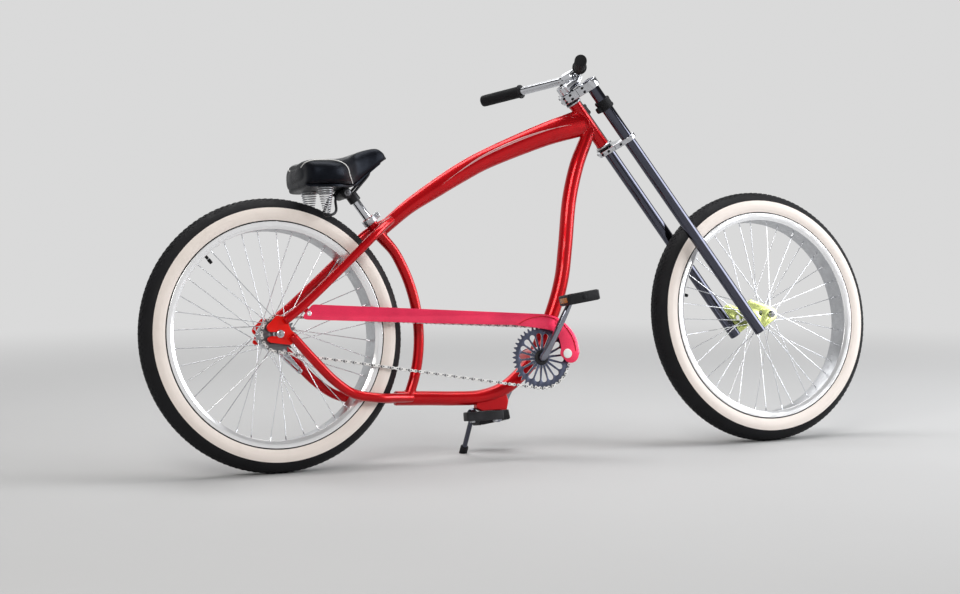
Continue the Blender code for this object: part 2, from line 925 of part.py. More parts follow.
top_tube_path = smooth_path(
    bowed(
        (head_centre[0] - 0.004, head_centre[1] + 0.0095),
        on_bow(39.8, -0.002),
        [
            (0.0000, 0.0000, 0.0358, 0.0158),
            (0.0613, -0.0077, 0.0352, 0.0200),
            (0.2059, -0.0232, 0.0310, 0.0220),
            (0.4524, -0.0377, 0.0266, 0.0223),
            (0.5837, -0.0378, 0.0258, 0.0225),
            (0.7193, -0.0315, 0.0233, 0.0209),
            (0.8452, -0.0231, 0.0195, 0.0194),
            (0.9516, -0.0084, 0.0178, 0.0167),
            (1.0000, 0.0000, 0.0166, 0.0120),
        ],
    ),
    2,
)


def top_tube_body(name, kind, grow):
    """Tall oval tube: round where it meets the seat tube, narrow and deep at the head."""
    body = as_mesh(tube(name, kind, bike, top_tube_path, 12, grow))
    for vertex in body.data.vertices:
        nearest = min(top_tube_path, key=lambda p: hypot(p[0] - vertex.co.x, p[2] - vertex.co.z))
        vertex.co.y *= (nearest[4] + grow) / (nearest[3] + grow)
    return body


top_tube = top_tube_body("top_tube", "candy_red", 0.0)
top_tube_cope = top_tube_body("top_tube_cope", None, joint_gap)
for cope in (head_front, head_cope):
    cut(top_tube, cope)

ring_x, ring_z = bottom_bracket
down_tube_path = smooth_path(
    bowed(
        (head_centre[0] + 0.005, head_centre[1] - 0.0073),
        bottom_bracket,
        [
            (0.0000, 0.0000, down_tube_radius - 0.0035),
            (0.0649, -0.0045, down_tube_radius - 0.0015),
            (0.1808, -0.0129, down_tube_radius),
            (0.3309, -0.0094, down_tube_radius),
            (0.5144, 0.0106, down_tube_radius),
            (0.6535, 0.0228, down_tube_radius),
            (0.8005, 0.0198, down_tube_radius),
            (1.0000, 0.0000, down_tube_radius),
        ],
    ),
    2,
)
shell_cope = rod(
    "shell_cope",
    None,
    bike,
    (ring_x, -shell_width, ring_z),
    (ring_x, shell_width, ring_z),
    shell_radius + joint_gap,
    24,
)
down_tube = as_mesh(tube("down_tube", "candy_red", bike, down_tube_path, 12))
for cope in (head_front, head_cope, top_tube_cope, shell_cope):
    cut(down_tube, cope)

half_shell = shell_width / 2
turned(
    "bottom_bracket_shell",
    "candy_red",
    bike,
    [
        (shell_radius, half_shell),
        (shell_radius, -half_shell),
        (shell_radius - shell_wall, -half_shell),
        (shell_radius - shell_wall, half_shell),
    ],
    (ring_x, 0.0, ring_z),
    left,
    16,
)
for side in (-1, 1):
    inner = half_shell + joint_gap
    outer = inner + cup_width
    bore = clear_radius(spindle_radius, 12, running_gap)
    heights = (outer, inner) if side > 0 else (-inner, -outer)
    turned(
        "crank_cup_" + side_names[side],
        "chrome",
        bike,
        [
            (cup_radius if side < 0 else cup_radius - 0.003, heights[0]),
            (cup_radius if side > 0 else cup_radius - 0.003, heights[1]),
            (bore, heights[1]),
            (bore, heights[0]),
        ],
        (ring_x, 0.0, ring_z),
        left,
        12,
    )

lower_tube_run = bowed(
    bottom_bracket,
    on_bow(-28.5, -0.0335),
    [
        (0.0000, 0.0000, lower_tube_radius),
        (0.1245, 0.0310, lower_tube_radius),
        (0.2675, 0.0548, lower_tube_radius),
        (0.4298, 0.0585, lower_tube_radius),
        (0.6071, 0.0430, lower_tube_radius),
        (0.7765, 0.0241, lower_tube_radius),
        (1.0000, 0.0000, lower_tube_radius),
    ],
)
lower_tube_path = smooth_path(lower_tube_run, 2)
lower_tube = as_mesh(tube("lower_tube", "candy_red", bike, lower_tube_path, 12))
lower_tube_cope = as_mesh(tube("lower_tube_cope", None, bike, lower_tube_path, 12, joint_gap))
cut(lower_tube, shell_cope)


# Seat tube: a straight stub for the post, then a bow that follows the rear tyre

seat_down = Vector((cos(seat_angle), 0.0, -sin(seat_angle)))
seat_back = Vector((-sin(seat_angle), 0.0, -cos(seat_angle)))
touch_x, touch_z = on_bow(90.0 - degrees(seat_angle))
touch = Vector((touch_x, 0.0, touch_z))
stub_top = touch - seat_down * seat_stub_above_bow + seat_back * seat_stub_setback
stub_length = seat_stub_above_bow * 0.7
seat_stub = [stub_top + seat_down * stub_length * share for share in (0.0, 0.57, 1.0)]
bow = arc((0.0, rear_axle_z), seat_bow_radius, radians(31.0), radians(-25.5), 9)
seat_tube_path = smooth_path(
    [
        *[(p.x, 0.0, p.z, seat_stub_radius) for p in seat_stub],
        *[(x, 0.0, z, seat_tube_radius) for x, z in bow],
    ],
    1,
)
seat_tube = as_mesh(tube("seat_tube", "candy_red", bike, seat_tube_path, 12))
seat_tube_cope = as_mesh(tube("seat_tube_cope", None, bike, seat_tube_path, 12, joint_gap))
cut(seat_tube, lower_tube_cope)
seat_bore = rod(
    "seat_bore",
    None,
    bike,
    stub_top - seat_down * 0.05,
    stub_top + seat_down * seat_bore_depth,
    clear_radius(post_radius, 12, running_gap),
    12,
)
cut(seat_tube, seat_bore)
cut(top_tube, seat_tube_cope)


# Stays and dropouts

slot_half = rear_axle_radius + running_gap
dropout_outline = [
    (-0.0070, 0.0470),
    (-0.0200, 0.0330),
    (-0.0300, 0.0250),
    (-0.0340, 0.0170),
    (-0.0310, 0.0085),
    (-0.0240, slot_half),
    *arc((0.0, 0.0), slot_half, pi / 2, -pi / 2, 7),
    (-0.0240, -slot_half),
    (-0.0330, -0.0080),
    (-0.0340, -0.0150),
    (-0.0270, -0.0210),
    (0.0265, -0.0290),
    (0.0400, -0.0200),
    (0.0440, -0.0040),
    (0.0300, 0.0080),
    (0.0240, 0.0220),
    (0.0225, 0.0400),
]


seat_stay_beside = tyre_half_width + stay_to_tyre + seat_stay_radius
seat_stay_run = bowed(
    (0.0120, rear_axle_z + 0.0300),
    on_bow(40.3, 0.0417),
    [
        (0.0000, 0.0000, plate_centre_y + 0.0060, seat_stay_radius - 0.001),
        (0.0336, 0.0000, plate_centre_y + 0.0062, seat_stay_radius),
        (0.2048, -0.0023, plate_centre_y + 0.0040, seat_stay_radius),
        (0.5712, 0.0026, seat_stay_beside + 0.0025, seat_stay_radius),
        (0.7947, 0.0069, seat_stay_beside, seat_stay_radius),
        (0.9035, 0.0059, seat_stay_beside * 0.714, seat_stay_radius),
        (1.0000, 0.0000, seat_tube_radius + 0.0034, seat_stay_radius - 0.001),
    ],
)
chain_stay_beside = tyre_half_width + stay_to_tyre + chain_stay_radius
chain_stay_run = bowed(
    (0.0280, rear_axle_z - 0.0045),
    on_bow(-25.8, 0.0054),
    [
        (0.0000, 0.0000, plate_centre_y + 0.0080, chain_stay_radius - 0.001),
        (0.2360, -0.0364, plate_centre_y + 0.0080, chain_stay_radius),
        (0.4043, -0.0578, plate_centre_y + 0.0060, chain_stay_radius),
        (0.5676, -0.0644, chain_stay_beside + 0.0018, chain_stay_radius),
        (0.7486, -0.0446, chain_stay_beside - 0.0017, chain_stay_radius),
        (0.8563, -0.0255, chain_stay_beside * 0.700, chain_stay_radius),
        (1.0000, 0.0000, seat_tube_radius + 0.0044, chain_stay_radius - 0.001),
    ],
)


def stay_path(run, side):
    """The stay's own line with its distance from the middle plane on the given side."""
    return smooth_path([(x, side * out, z, radius) for x, _, z, out, radius in run], 2)


def build_rear_triangle(side):
    name = side_names[side]
    dropout = plate(
        "dropout_" + name,
        "dropout_red",
        bike,
        [dropout_outline],
        dropout_thickness,
        (0.0, side * plate_centre_y, rear_axle_z),
        side_on,
    )
    seat_stay = as_mesh(
        tube("seat_stay_" + name, "candy_red", bike, stay_path(seat_stay_run, side), 8)
    )
    chain_stay = as_mesh(
        tube("chain_stay_" + name, "candy_red", bike, stay_path(chain_stay_run, side), 8)
    )
    for stay in (seat_stay, chain_stay):
        cut(stay, dropout_cope(side))
    for cope in (top_tube_cope, seat_tube_cope):
        cut(seat_stay, cope)
    for cope in (lower_tube_cope, seat_tube_cope):
        cut(chain_stay, cope)
    return dropout


def dropout_cope(side):
    """Room for a dropout plate, a joint gap larger all round, shared by both of its stays."""
    name = "dropout_cope_" + side_names[side]
    if name not in bpy.data.objects:
        low_x, high_x = -0.05, 0.0440 + joint_gap
        block(
            name,
            None,
            bike,
            ((low_x + high_x) / 2, side * plate_centre_y, rear_axle_z + 0.009),
            (high_x - low_x, dropout_thickness + 2 * joint_gap, 0.0765 + 2 * joint_gap),
        )
    return bpy.data.objects[name]


dropouts = {side: build_rear_triangle(side) for side in (-1, 1)}


# Chain guard with its mounts: a tab on the right seat stay and a peg on the down tube

guard_inner_y = guard_y - guard_thickness / 2 - joint_gap
guard_face_y = guard_y + guard_thickness / 2


def from_crank(x, z):
    """Place (x, z) given ahead of the crank's axis and above it."""
    return (bottom_bracket[0] + x, bottom_bracket[1] + z)


def from_axle(x, z):
    """Place (x, z) given ahead of the rear axle and above it."""
    return (x, rear_axle_z + z)


boss_reach = chainring_pitch + chain_half_height + guard_boss_clearance + guard_boss_radius
guard_boss_place = from_crank(boss_reach * cos(guard_boss_angle), boss_reach * sin(guard_boss_angle))


def build_guard():
    over_ring = [from_crank(0.0050, 0.1140), from_crank(0.0410, 0.1060), from_crank(0.0690, 0.0870)]
    hook_front = [from_crank(0.0960, 0.0540), from_crank(0.1050, 0.0140)]
    hook_end = arc(from_crank(0.0795, 0.0060), 0.0240, radians(-10.0), radians(-150.0), 5)
    hook_back = [from_crank(0.0490, 0.0060), from_crank(0.0520, 0.0260)]
    under_ring = [from_crank(0.0440, 0.0550), from_crank(0.0220, 0.0710), from_crank(-0.0780, 0.0880)]
    rear_low, rear_high = from_axle(0.0540, 0.0340), from_axle(0.0900, 0.0710)
    top_middle = Vector(rear_high).lerp(over_ring[0], 0.489) + Vector((0.0, 0.0002))
    low_middle = Vector(rear_low).lerp(under_ring[-1], 0.583) - Vector((0.0, 0.0008))
    outline = [
        rear_low,
        rear_high,
        tuple(top_middle),
        *over_ring,
        *hook_front,
        *hook_end,
        *hook_back,
        *under_ring,
        tuple(low_middle),
    ]
    guard = plate(
        "chain_guard",
        "guard_red",
        bike,
        [outline],
        guard_thickness,
        (0.0, -guard_y, 0.0),
        side_on,
    )
    tab, boss = from_axle(*guard_tab_from_axle), guard_boss_place
    for name, (x, z) in (("guard_bolt_rear", tab), ("guard_bolt_front", boss)):
        fuse(guard, rod(name, None, bike, (x, -guard_y, z), (x, -guard_face_y - 0.003, z), 0.005, 6))


build_guard()
cap_x, cap_z = from_crank(*guard_cap_from_crank)
rod(
    "guard_cap",
    "white",
    bike,
    (cap_x, -guard_face_y - joint_gap, cap_z),
    (cap_x, -guard_face_y - joint_gap - guard_cap_height, cap_z),
    guard_cap_radius,
    12,
)
boss_x, boss_z = guard_boss_place
fuse(
    down_tube,
    rod("guard_peg", None, bike, (boss_x, 0.0, boss_z), (boss_x, -guard_inner_y, boss_z),
        guard_boss_radius, 10),
)
tab_x, tab_z = from_axle(*guard_tab_from_axle)
tab_foot = from_axle(0.0637, 0.0685)
tab_slope = atan2(tab_z - tab_foot[1], tab_x - tab_foot[0])
tab_length = hypot(tab_x - tab_foot[0], tab_z - tab_foot[1]) + 0.008
fuse(
    bpy.data.objects["seat_stay_right"],
    block(
        "guard_tab",
        None,
        bike,
        (
            tab_foot[0] + (tab_length / 2) * cos(tab_slope),
            -guard_inner_y + guard_tab_thickness / 2,
            tab_foot[1] + (tab_length / 2) * sin(tab_slope),
        ),
        (tab_length, guard_tab_thickness, 0.013),
        (0.0, -tab_slope, 0.0),
    ),
)


# Coaster brake arm, clipped to the left chain stay

clip_x, _, clip_z, clip_y, _ = chain_stay_run[1]
clip_place = Vector((clip_x, clip_y, clip_z))
clip_along = Vector((0.0910, 0.0, -0.1000)).normalized()
arm_end = (clip_x - 0.0060, clip_z - 0.0145 - rear_axle_z)
arm_outline = [
    *arc((0.0, 0.0), 0.0150, radians(45.0), radians(215.0), 7),
    *arc(arm_end, 0.0070, radians(215.0), radians(405.0), 6),
]
plate(
    "brake_arm",
    "chrome",
    bike,
    [arm_outline, ring_outline(clear_radius(rear_axle_radius, 10), 10)],
    brake_arm_thickness,
    (0.0, brake_arm_y, rear_axle_z),
    side_on,
)
clip_inner = chain_stay_radius + 3 * joint_gap
turned(
    "brake_arm_clip",
    "candy_red",
    bike,
    [
        (clip_inner + 0.0018, 0.006),
        (clip_inner + 0.0018, -0.006),
        (clip_inner, -0.006),
        (clip_inner, 0.006),
    ],
    clip_place,
    clip_along,
    14,
)
ear_inner = brake_arm_y + brake_arm_thickness / 2 + joint_gap
ear_outer = clip_place.y - chain_stay_radius - joint_gap
ear_x = (clip_place.x + arm_end[0]) / 2
ear_z = (clip_place.z + rear_axle_z + arm_end[1]) / 2
fuse(
    bpy.data.objects["brake_arm_clip"],
    block(
        "clip_ear",
        None,
        bike,
        (ear_x, (ear_inner + ear_outer) / 2, ear_z),
        (0.0100, ear_outer - ear_inner, 0.0240),
        (0.0, atan2(-clip_along.z, clip_along.x), 0.0),
    ),
)


# Seat clamp round the top of the seat tube

clamp_bore = clear_radius(seat_stub_radius, 16)
clamp_radius = clamp_bore + 0.0035
ahead_of_seat = Vector((sin(seat_angle), 0.0, cos(seat_angle)))
seat_clamp = as_mesh(
    rod("seat_clamp", "silver", bike, stub_top, stub_top + seat_down * 0.016, clamp_radius, 16)
)
ear_centre = stub_top + seat_down * 0.008 + ahead_of_seat * (clamp_radius + 0.004)
seat_turn = (0.0, seat_angle - pi / 2, 0.0)
fuse(seat_clamp, block("clamp_ear", None, bike, ear_centre, (0.016, 0.016, 0.0156), seat_turn))
cut(
    seat_clamp,
    rod("clamp_hole", None, bike, stub_top - seat_down * 0.01, stub_top + seat_down * 0.03,
        clamp_bore, 16),
)
cut(seat_clamp, block("clamp_slot", None, bike, ear_centre, (0.030, 0.002, 0.03), seat_turn))
bolt_reach = left * 0.0115
bolt_at = ear_centre + ahead_of_seat * 0.001
fuse(
    seat_clamp,
    rod("clamp_bolt", None, bike, bolt_at - bolt_reach, bolt_at + bolt_reach, 0.0034, 8),
)


# Kickstand: mounting plate, bracket, swinging leg and rubber foot

kick_x, _, kick_z, _ = lower_tube_run[3]
plate_low = -lower_tube_radius - kick_plate_drop
plate_outline = [
    (-0.0170, plate_low + 0.0235),
    (-0.0170, plate_low + 0.0085),
    (-0.0030, plate_low),
    (0.0690, plate_low),
    (0.0750, plate_low + 0.0235),
    (0.0690, plate_low + 0.0485),
    (0.0050, plate_low + 0.0375),
]
kick_plate = plate(
    "kickstand_plate",
    "candy_red",
    bike,
    [plate_outline],
    kick_plate_thickness,
    (kick_x, 0.0, kick_z),
    side_on,
)
cut(kick_plate, lower_tube_cope)

stand_pivot = Vector((kick_x, 0.0, kick_z)) + Vector(stand_pivot_from_tube)
stand = add_empty("stand_axis", stand_pivot, bike, (-stand_axis_tilt, 0.0, 0.0))
half_hub = stand_hub_width / 2
boss_top = -half_hub - running_gap
bolt_radius = 0.004
bracket_top = kick_z + plate_low - joint_gap
bracket = block(
    "kickstand_bracket",
    "black_metal",
    bike,
    (kick_x + 0.0025, -0.0055, bracket_top - 0.0120),
    (0.1050, 0.0290, 0.0240),
    edge=0.002,
)
bracket = as_mesh(bracket)
fuse(bracket, rod("stand_boss", None, stand, (0, 0, boss_top - 0.016), (0, 0, boss_top),
                  stand_hub_radius + 0.001, 14))
fuse(bracket, rod("stand_bolt", None, stand, (0, 0, boss_top - 0.004), (0, 0, half_hub + 0.002),
                  bolt_radius, 10))
fuse(bracket, rod("stand_bolt_head", None, stand, (0, 0, half_hub + running_gap),
                  (0, 0, half_hub + 0.005), bolt_radius * 1.8, 6))

leg_down = Vector((sin(stand_past_centre), cos(stand_past_centre), 0.0))


def stand_reach():
    """Distance along the leg from its pivot to the floor."""
    bpy.context.view_layer.update()
    world = stand.matrix_world
    drop = (world.to_3x3() @ leg_down).z
    return -world.translation.z / drop


reach = stand_reach()
foot_start = reach - stand_foot_length
leg = as_mesh(
    rod("kickstand_leg", "chrome", stand, (0, 0, -half_hub), (0, 0, half_hub), stand_hub_radius, 16)
)
foot_bore = clear_radius(stand_radius, 12)
fuse(leg, rod("stand_rod", None, stand, leg_down * 0.006, leg_down * (reach - 0.014),
              stand_radius, 12))
cut(leg, rod("stand_hole", None, stand, (0, 0, -0.02), (0, 0, 0.02), clear_radius(bolt_radius, 10, running_gap), 10))
foot = as_mesh(
    rod("kickstand_foot", "rubber", stand, leg_down * foot_start, leg_down * (reach + 0.02),
        stand_foot_radius, 14)
)
cut(foot, rod("foot_bore", None, stand, leg_down * (foot_start - 0.01),
              leg_down * (reach - 0.014 + joint_gap), foot_bore, 12))
cut(foot, block("floor", None, None, (-0.15, 0.0, -0.05), (0.6, 0.6, 0.1)))


# Fork: legs, clamps, steerer, headset, bumpers and the plates that carry the front axle


def build_fork_leg(side):
    name = side_names[side]
    y = side * leg_half_spacing
    tube_leg = as_mesh(
        rod("fork_leg_" + name, "chrome", fork, (leg_ahead, y, leg_bottom), (leg_ahead, y, leg_top),
            leg_radius, 16)
    )
    cut(tube_leg, rod("leg_bore_" + name, None, fork, (leg_ahead, y, leg_bottom - 0.01),
                      (leg_ahead, y, leg_top - 0.006), leg_radius - leg_wall, 16))
    return tube_leg


for side in (-1, 1):
    build_fork_leg(side)


def clamp_outline():
    """Plan of a fork clamp: a round boss on the steerer and one on each leg."""
    span = hypot(leg_ahead, leg_half_spacing)
    toward_leg = atan2(leg_half_spacing, leg_ahead)
    tangent = toward_leg + pi / 2 - asin((boss_radius - leg_boss_radius) / span)
    half = [
        *arc((0.0, 0.0), boss_radius, pi, tangent, 3),
        *arc((leg_ahead, leg_half_spacing), leg_boss_radius, tangent, radians(-75.0), 7),
    ]
    front = (leg_ahead - 0.004, 0.0)
    return [*half, front, *[(x, -y) for x, y in reversed(half[1:])]]


def leg_hole(side):
    centre = (leg_ahead, side * leg_half_spacing)
    return arc(centre, clear_radius(leg_radius, 16), 0.0, 2 * pi * 15 / 16, 16)


def build_clamp(name, low, height):
    holes = [leg_hole(-1), leg_hole(1), ring_outline(clear_radius(steerer_radius, 12), 12)]
    middle = (0.0, 0.0, low + height / 2)
    return plate(name, "chrome", fork, [clamp_outline(), *holes], height, middle, (0, 0, 0))


build_clamp("upper_clamp", headset_top, upper_clamp_height)
build_clamp("lower_clamp", -headset_top - lower_clamp_height, lower_clamp_height)
rod("steerer", "steel", fork, (0, 0, -headset_top - lower_clamp_height), (0, 0, upper_clamp_top),
    steerer_radius, 12)

headset_bore = clear_radius(steerer_radius, 12, running_gap)
for name, sign in (("headset_upper", 1), ("headset_lower", -1)):
    near = half_head + joint_gap
    far = near + headset_height
    profile = [
        (headset_radius, near + 0.0045),
        (headset_radius, near),
        (headset_bore, near),
        (headset_bore, far),
        (headset_radius - 0.003, far),
    ]
    turned(name, "black_metal", steering_axis, profile, (0, 0, 0), (0, 0, sign), 12)


def build_bumper(side):
    """Rubber collar on a fork leg with the block that meets the top tube at full lock."""
    name = side_names[side]
    y = side * leg_half_spacing
    low = bumper_z
    bumper = as_mesh(
        rod("bumper_" + name, "rubber", fork, (leg_ahead, y, low), (leg_ahead, y, low + bumper_length),
            bumper_radius, 12)
    )
    fuse(bumper, block("bumper_pad_" + name, None, fork,
                       (leg_ahead - bumper_radius - pad_reach / 2 + 0.006, y, low + 0.010),
                       (pad_reach + 0.012, 0.018, 0.016), edge=0.003))
    cut(bumper, rod("bumper_bore_" + name, None, fork, (leg_ahead, y, low - 0.01),
                    (leg_ahead, y, low + bumper_length + 0.01), clear_radius(leg_radius, 12), 12))


for side in (-1, 1):
    build_bumper(side)

plate_y = front_hub_width / 2 + plate_thickness / 2


def build_axle_plate(side):
    """Plate on the inside of a fork leg, reaching ahead to the front axle."""
    name = side_names[side]
    back = leg_ahead + 0.004
    nose = (axle_ahead, front_axle_z)
    end = arc(nose, 0.0180, radians(38.0), radians(-95.0), 6)
    outline = [
        (back, front_axle_z - 0.0140),
        (back, front_axle_z + 0.0720),
        (back + 0.0290, front_axle_z + 0.0720),
        *end,
    ]
    window = arc((axle_ahead - 0.0265, front_axle_z + 0.0225), 0.0055, 0.0, 2 * pi * 7 / 8, 8)
    bore = arc(nose, clear_radius(front_axle_radius, 10), 0.0, 2 * pi * 9 / 10, 10)
    axle_plate = plate(
        "axle_plate_" + name,
        "gold_lime",
        fork,
        [outline, window, bore],
        plate_thickness,
        (0.0, side * plate_y, 0.0),
        side_on,
    )
    leg_room = rod("leg_room_" + name, None, fork, (leg_ahead, side * leg_half_spacing, leg_bottom - 0.1),
                   (leg_ahead, side * leg_half_spacing, leg_top), clear_radius(leg_radius, 16), 16)
    cut(axle_plate, leg_room)


for side in (-1, 1):
    build_axle_plate(side)
axle_with_nuts(
    "front_axle",
    fork,
    (axle_ahead, 0.0, front_axle_z),
    front_axle_radius,
    plate_y + plate_thickness / 2 + joint_gap,
)


# Stem, handlebar and grips

stem_low = upper_clamp_top + joint_gap
stem = as_mesh(
    rod("stem", "chrome", fork, (0, 0, stem_low), (0, 0, stem_low + stem_height), stem_cap_radius, 18)
)
fuse(stem, block("stem_body", None, fork, (bar_ahead / 2, 0.0, stem_low + stem_height / 2),
                 (bar_ahead + 0.004, 2 * stem_cap_radius * 0.94, stem_height - 0.001)))
fuse(stem, rod("stem_head", None, fork, (bar_ahead, -stem_half_width, bar_height),
               (bar_ahead, stem_half_width, bar_height), stem_radius, 18))
cut(stem, rod("bar_bore", None, fork, (bar_ahead, -0.05, bar_height), (bar_ahead, 0.05, bar_height),
              clear_radius(bar_radius, 14), 14))

bar_end_point = Vector(bar_end)
bar_bend = Vector((bar_ahead - 0.0035, bar_centre_half + 0.014, bar_height + 0.0018))
bar_along = (bar_end_point - bar_bend).normalized()


def bar_path(side):
    run = [
        (bar_ahead, bar_centre_half * 0.9, bar_height),
        (bar_ahead - 0.0003, bar_centre_half, bar_height),
        tuple(bar_bend),
        tuple(bar_bend + bar_along * 0.018),
        tuple(bar_end_point - bar_along * 0.004),
    ]
    return [(x, side * y, z, bar_radius) for x, y, z in run]


as_mesh(tube("handlebar", "chrome", fork, [*reversed(bar_path(-1)), *bar_path(1)], 12))


def build_grip(side):
    name = side_names[side]
    mirror = Vector((1.0, side, 1.0))
    outer = bar_end_point * mirror
    along = bar_along * mirror
    inner = outer - along * grip_length
    grip = as_mesh(rod("grip_" + name, "rubber", fork, inner, outer, grip_radius, 12))
    fuse(grip, rod("grip_flange_" + name, None, fork, inner - along * 0.0005,
                   inner + along * grip_flange_width,
                   grip_flange_radius, 12))
    cut(grip, rod("grip_bore_" + name, None, fork, inner - along * 0.01,
                  outer - along * (0.004 - joint_gap), clear_radius(bar_radius, 12), 12))


for side in (-1, 1):
    build_grip(side)


# Seat post, saddle clamp, wire frame, springs and cushion

post_top = stub_top - seat_down * post_exposed
rod("seat_post", "chrome", bike, stub_top + seat_down * post_inserted, post_top, post_radius, 12)

clamp_x = post_top.x - saddle_clamp_setback
clamp_z = post_top.z + saddle_clamp_rise
half_clamp = saddle_clamp_width / 2
saddle_clamp = as_mesh(
    rod("saddle_clamp", "black_metal", bike, (clamp_x, -half_clamp, clamp_z),
        (clamp_x, half_clamp, clamp_z), saddle_clamp_radius, 16)
)
collar_low = post_top + seat_down * 0.020
collar_high = post_top - seat_down * 0.003
fuse(saddle_clamp, rod("post_collar", None, bike, collar_low, collar_high, post_radius + 0.0045, 16))
fuse(saddle_clamp, block("collar_neck", None, bike, (clamp_x + 0.0090, 0.0, clamp_z - 0.0040),
                         (0.024, 0.026, 0.016)))
cut(saddle_clamp, rod("collar_bore", None, bike, collar_low + seat_down * 0.01,
                      post_top - seat_down * joint_gap, clear_radius(post_radius, 12), 12))
rail_z = clamp_z
for side in (-1, 1):
    y = side * rail_half_gap
    cut(saddle_clamp, rod("rail_bore_" + side_names[side], None, bike, (clamp_x - 0.03, y, rail_z),
                          (clamp_x + 0.03, y, rail_z), clear_radius(rail_radius, 10), 10))

spring_x, spring_y = clamp_x - spring_behind_clamp, spring_half_spacing
spring_foot_z = clamp_z - spring_foot_drop
saddle_base_z = clamp_z + saddle_base_rise
nose_x = clamp_x + 0.075
nose_z = saddle_base_z + 0.045


def rail_path(side):
    foot_z = spring_foot_z - rail_radius
    run = [
        (spring_x, spring_y, foot_z),
        (spring_x + 0.015, spring_y, foot_z),
        (spring_x + 0.030, spring_y - 0.012, foot_z + 0.012),
        (clamp_x - 0.032, rail_half_gap + 0.008, rail_z - 0.018),
        (clamp_x - 0.021, rail_half_gap, rail_z),
        (clamp_x - 0.015, rail_half_gap, rail_z),
        (clamp_x + 0.015, rail_half_gap, rail_z),
        (clamp_x + 0.021, rail_half_gap, rail_z),
        (nose_x - 0.0300, rail_half_gap - 0.004, nose_z - 0.0340),
        (nose_x - 0.0060, rail_half_gap - 0.010, nose_z - 0.0100),
    ]
    return [(x, side * y, z, rail_radius) for x, y, z in run]


rail_line = [*rail_path(-1), (nose_x, 0.0, nose_z, rail_radius), *reversed(rail_path(1))]
rails = as_mesh(tube("saddle_rails", "black_metal", bike, rail_line, 6))
rail_cope = as_mesh(tube("rail_cope", None, bike, rail_line, 6, joint_gap))
for side in (-1, 1):
    foot_at = (spring_x, side * spring_y, spring_foot_z)
    foot_under = (spring_x, side * spring_y, spring_foot_z - 1.6 * rail_radius)
    fuse(rails, rod("spring_foot_" + side_names[side], None, bike, foot_under, foot_at,
                    spring_bottom_radius + 0.0020, 10))

spring_low = spring_foot_z + joint_gap + spring_wire
spring_high = saddle_base_z - joint_gap - spring_wire


def spring_point(turn):
    """Middle of the spring wire after a number of turns, level at both ends."""
    share = turn / spring_turns
    rise = min(max((turn - 0.5) / (spring_turns - 1.0), 0.0), 1.0)
    radius = spring_bottom_radius + (spring_top_radius - spring_bottom_radius) * share
    angle = 2 * pi * turn
    height = spring_low + (spring_high - spring_low) * rise
    return Vector((radius * cos(angle), radius * sin(angle), height))


curls = [spring_point(i / 8) for i in range(8 * spring_turns + 1)]
least = min(
    (curls[i] - curls[j]).length - 2 * spring_wire
    for i in range(len(curls))
    for j in range(i + 5, len(curls))
)
print("least gap of a spring's wire to itself, mm:", round(least * 1000, 2))
for side in (-1, 1):
    path = [(spring_x + p.x, side * (spring_y + p.y), p.z, spring_wire) for p in curls]
    as_mesh(tube("spring_" + side_names[side], "chrome", bike, path, 6))


def saddle_sections():
    """Cross sections from the back to the nose: x, half width, underside and top."""
    wide = saddle_half_width
    given = [
        (-0.1245, wide * 0.50, 0.0200, 0.0550),
        (-0.1210, wide * 0.74, 0.0050, 0.0650),
        (-0.1060, wide * 0.92, 0.0000, 0.0700),
        (-0.0710, wide, 0.0000, 0.0710),
        (-0.0360, wide * 0.93, 0.0000, 0.0720),
        (-0.0060, wide * 0.70, 0.0000, 0.0775),
        (0.0240, wide * 0.41, 0.0080, 0.0870),
        (0.0590, wide * 0.29, 0.0330, 0.0980),
        (0.0920, wide * 0.24, 0.0570, 0.1035),
        (0.1110, wide * 0.18, 0.0700, 0.0950),
        (0.1210, wide * 0.08, 0.0760, 0.0830),
    ]
    placed = [(clamp_x + x, half, saddle_base_z + low, saddle_base_z + high)
              for x, half, low, high in given]
    return smooth_path(placed, 2)


def build_saddle():
    work = bmesh.new()
    around = 16
    rings = []
    for x, wide, low, high in saddle_sections():
        middle = (low + high) / 2
        tall = (high - low) / 2
        ring = []
        for i in range(around):
            angle = 2 * pi * i / around
            across = abs(cos(angle)) ** 0.55 * (1 if cos(angle) >= 0 else -1)
            up = abs(sin(angle)) ** 0.75 * (1 if sin(angle) >= 0 else -1)
            tuck = 1.0 - 0.12 * max(0.0, -up) - 0.03 * max(0.0, up)
            ring.append(work.verts.new((x, wide * across * tuck, middle + tall * up)))
        rings.append(ring)
    for ring, ahead in zip(rings, rings[1:]):
        for i in range(around):
            j = (i + 1) % around
            work.faces.new((ring[i], ring[j], ahead[j], ahead[i]))
    work.faces.new(reversed(rings[0]))
    work.faces.new(rings[-1])
    bmesh.ops.recalc_face_normals(work, faces=work.faces)
    return add_part("saddle", mesh_from(work, "saddle"), "vinyl", bike)


saddle = build_saddle()
cut(saddle, block("clamp_room", None, bike, (clamp_x, 0.0, saddle_base_z),
                  (saddle_clamp_width, saddle_clamp_width + 0.004, 0.0200)))
cut(saddle, rail_cope)
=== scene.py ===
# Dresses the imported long-fork cruiser bicycle. Every tube, wheel, link and seam is made here in
# the bicycle's own sizes, is set in its place, and rides on the body that carries it.
# Lengths are in metres. In the bicycle's frame X is forward from the rear axle, Y is the
# rider's left and Z is up along its own middle plane.

from math import acos, asin, atan2, cos, degrees, floor, hypot, pi, radians, sin, tan

import bmesh
import bpy
import numpy as np
from mathutils import Matrix, Vector


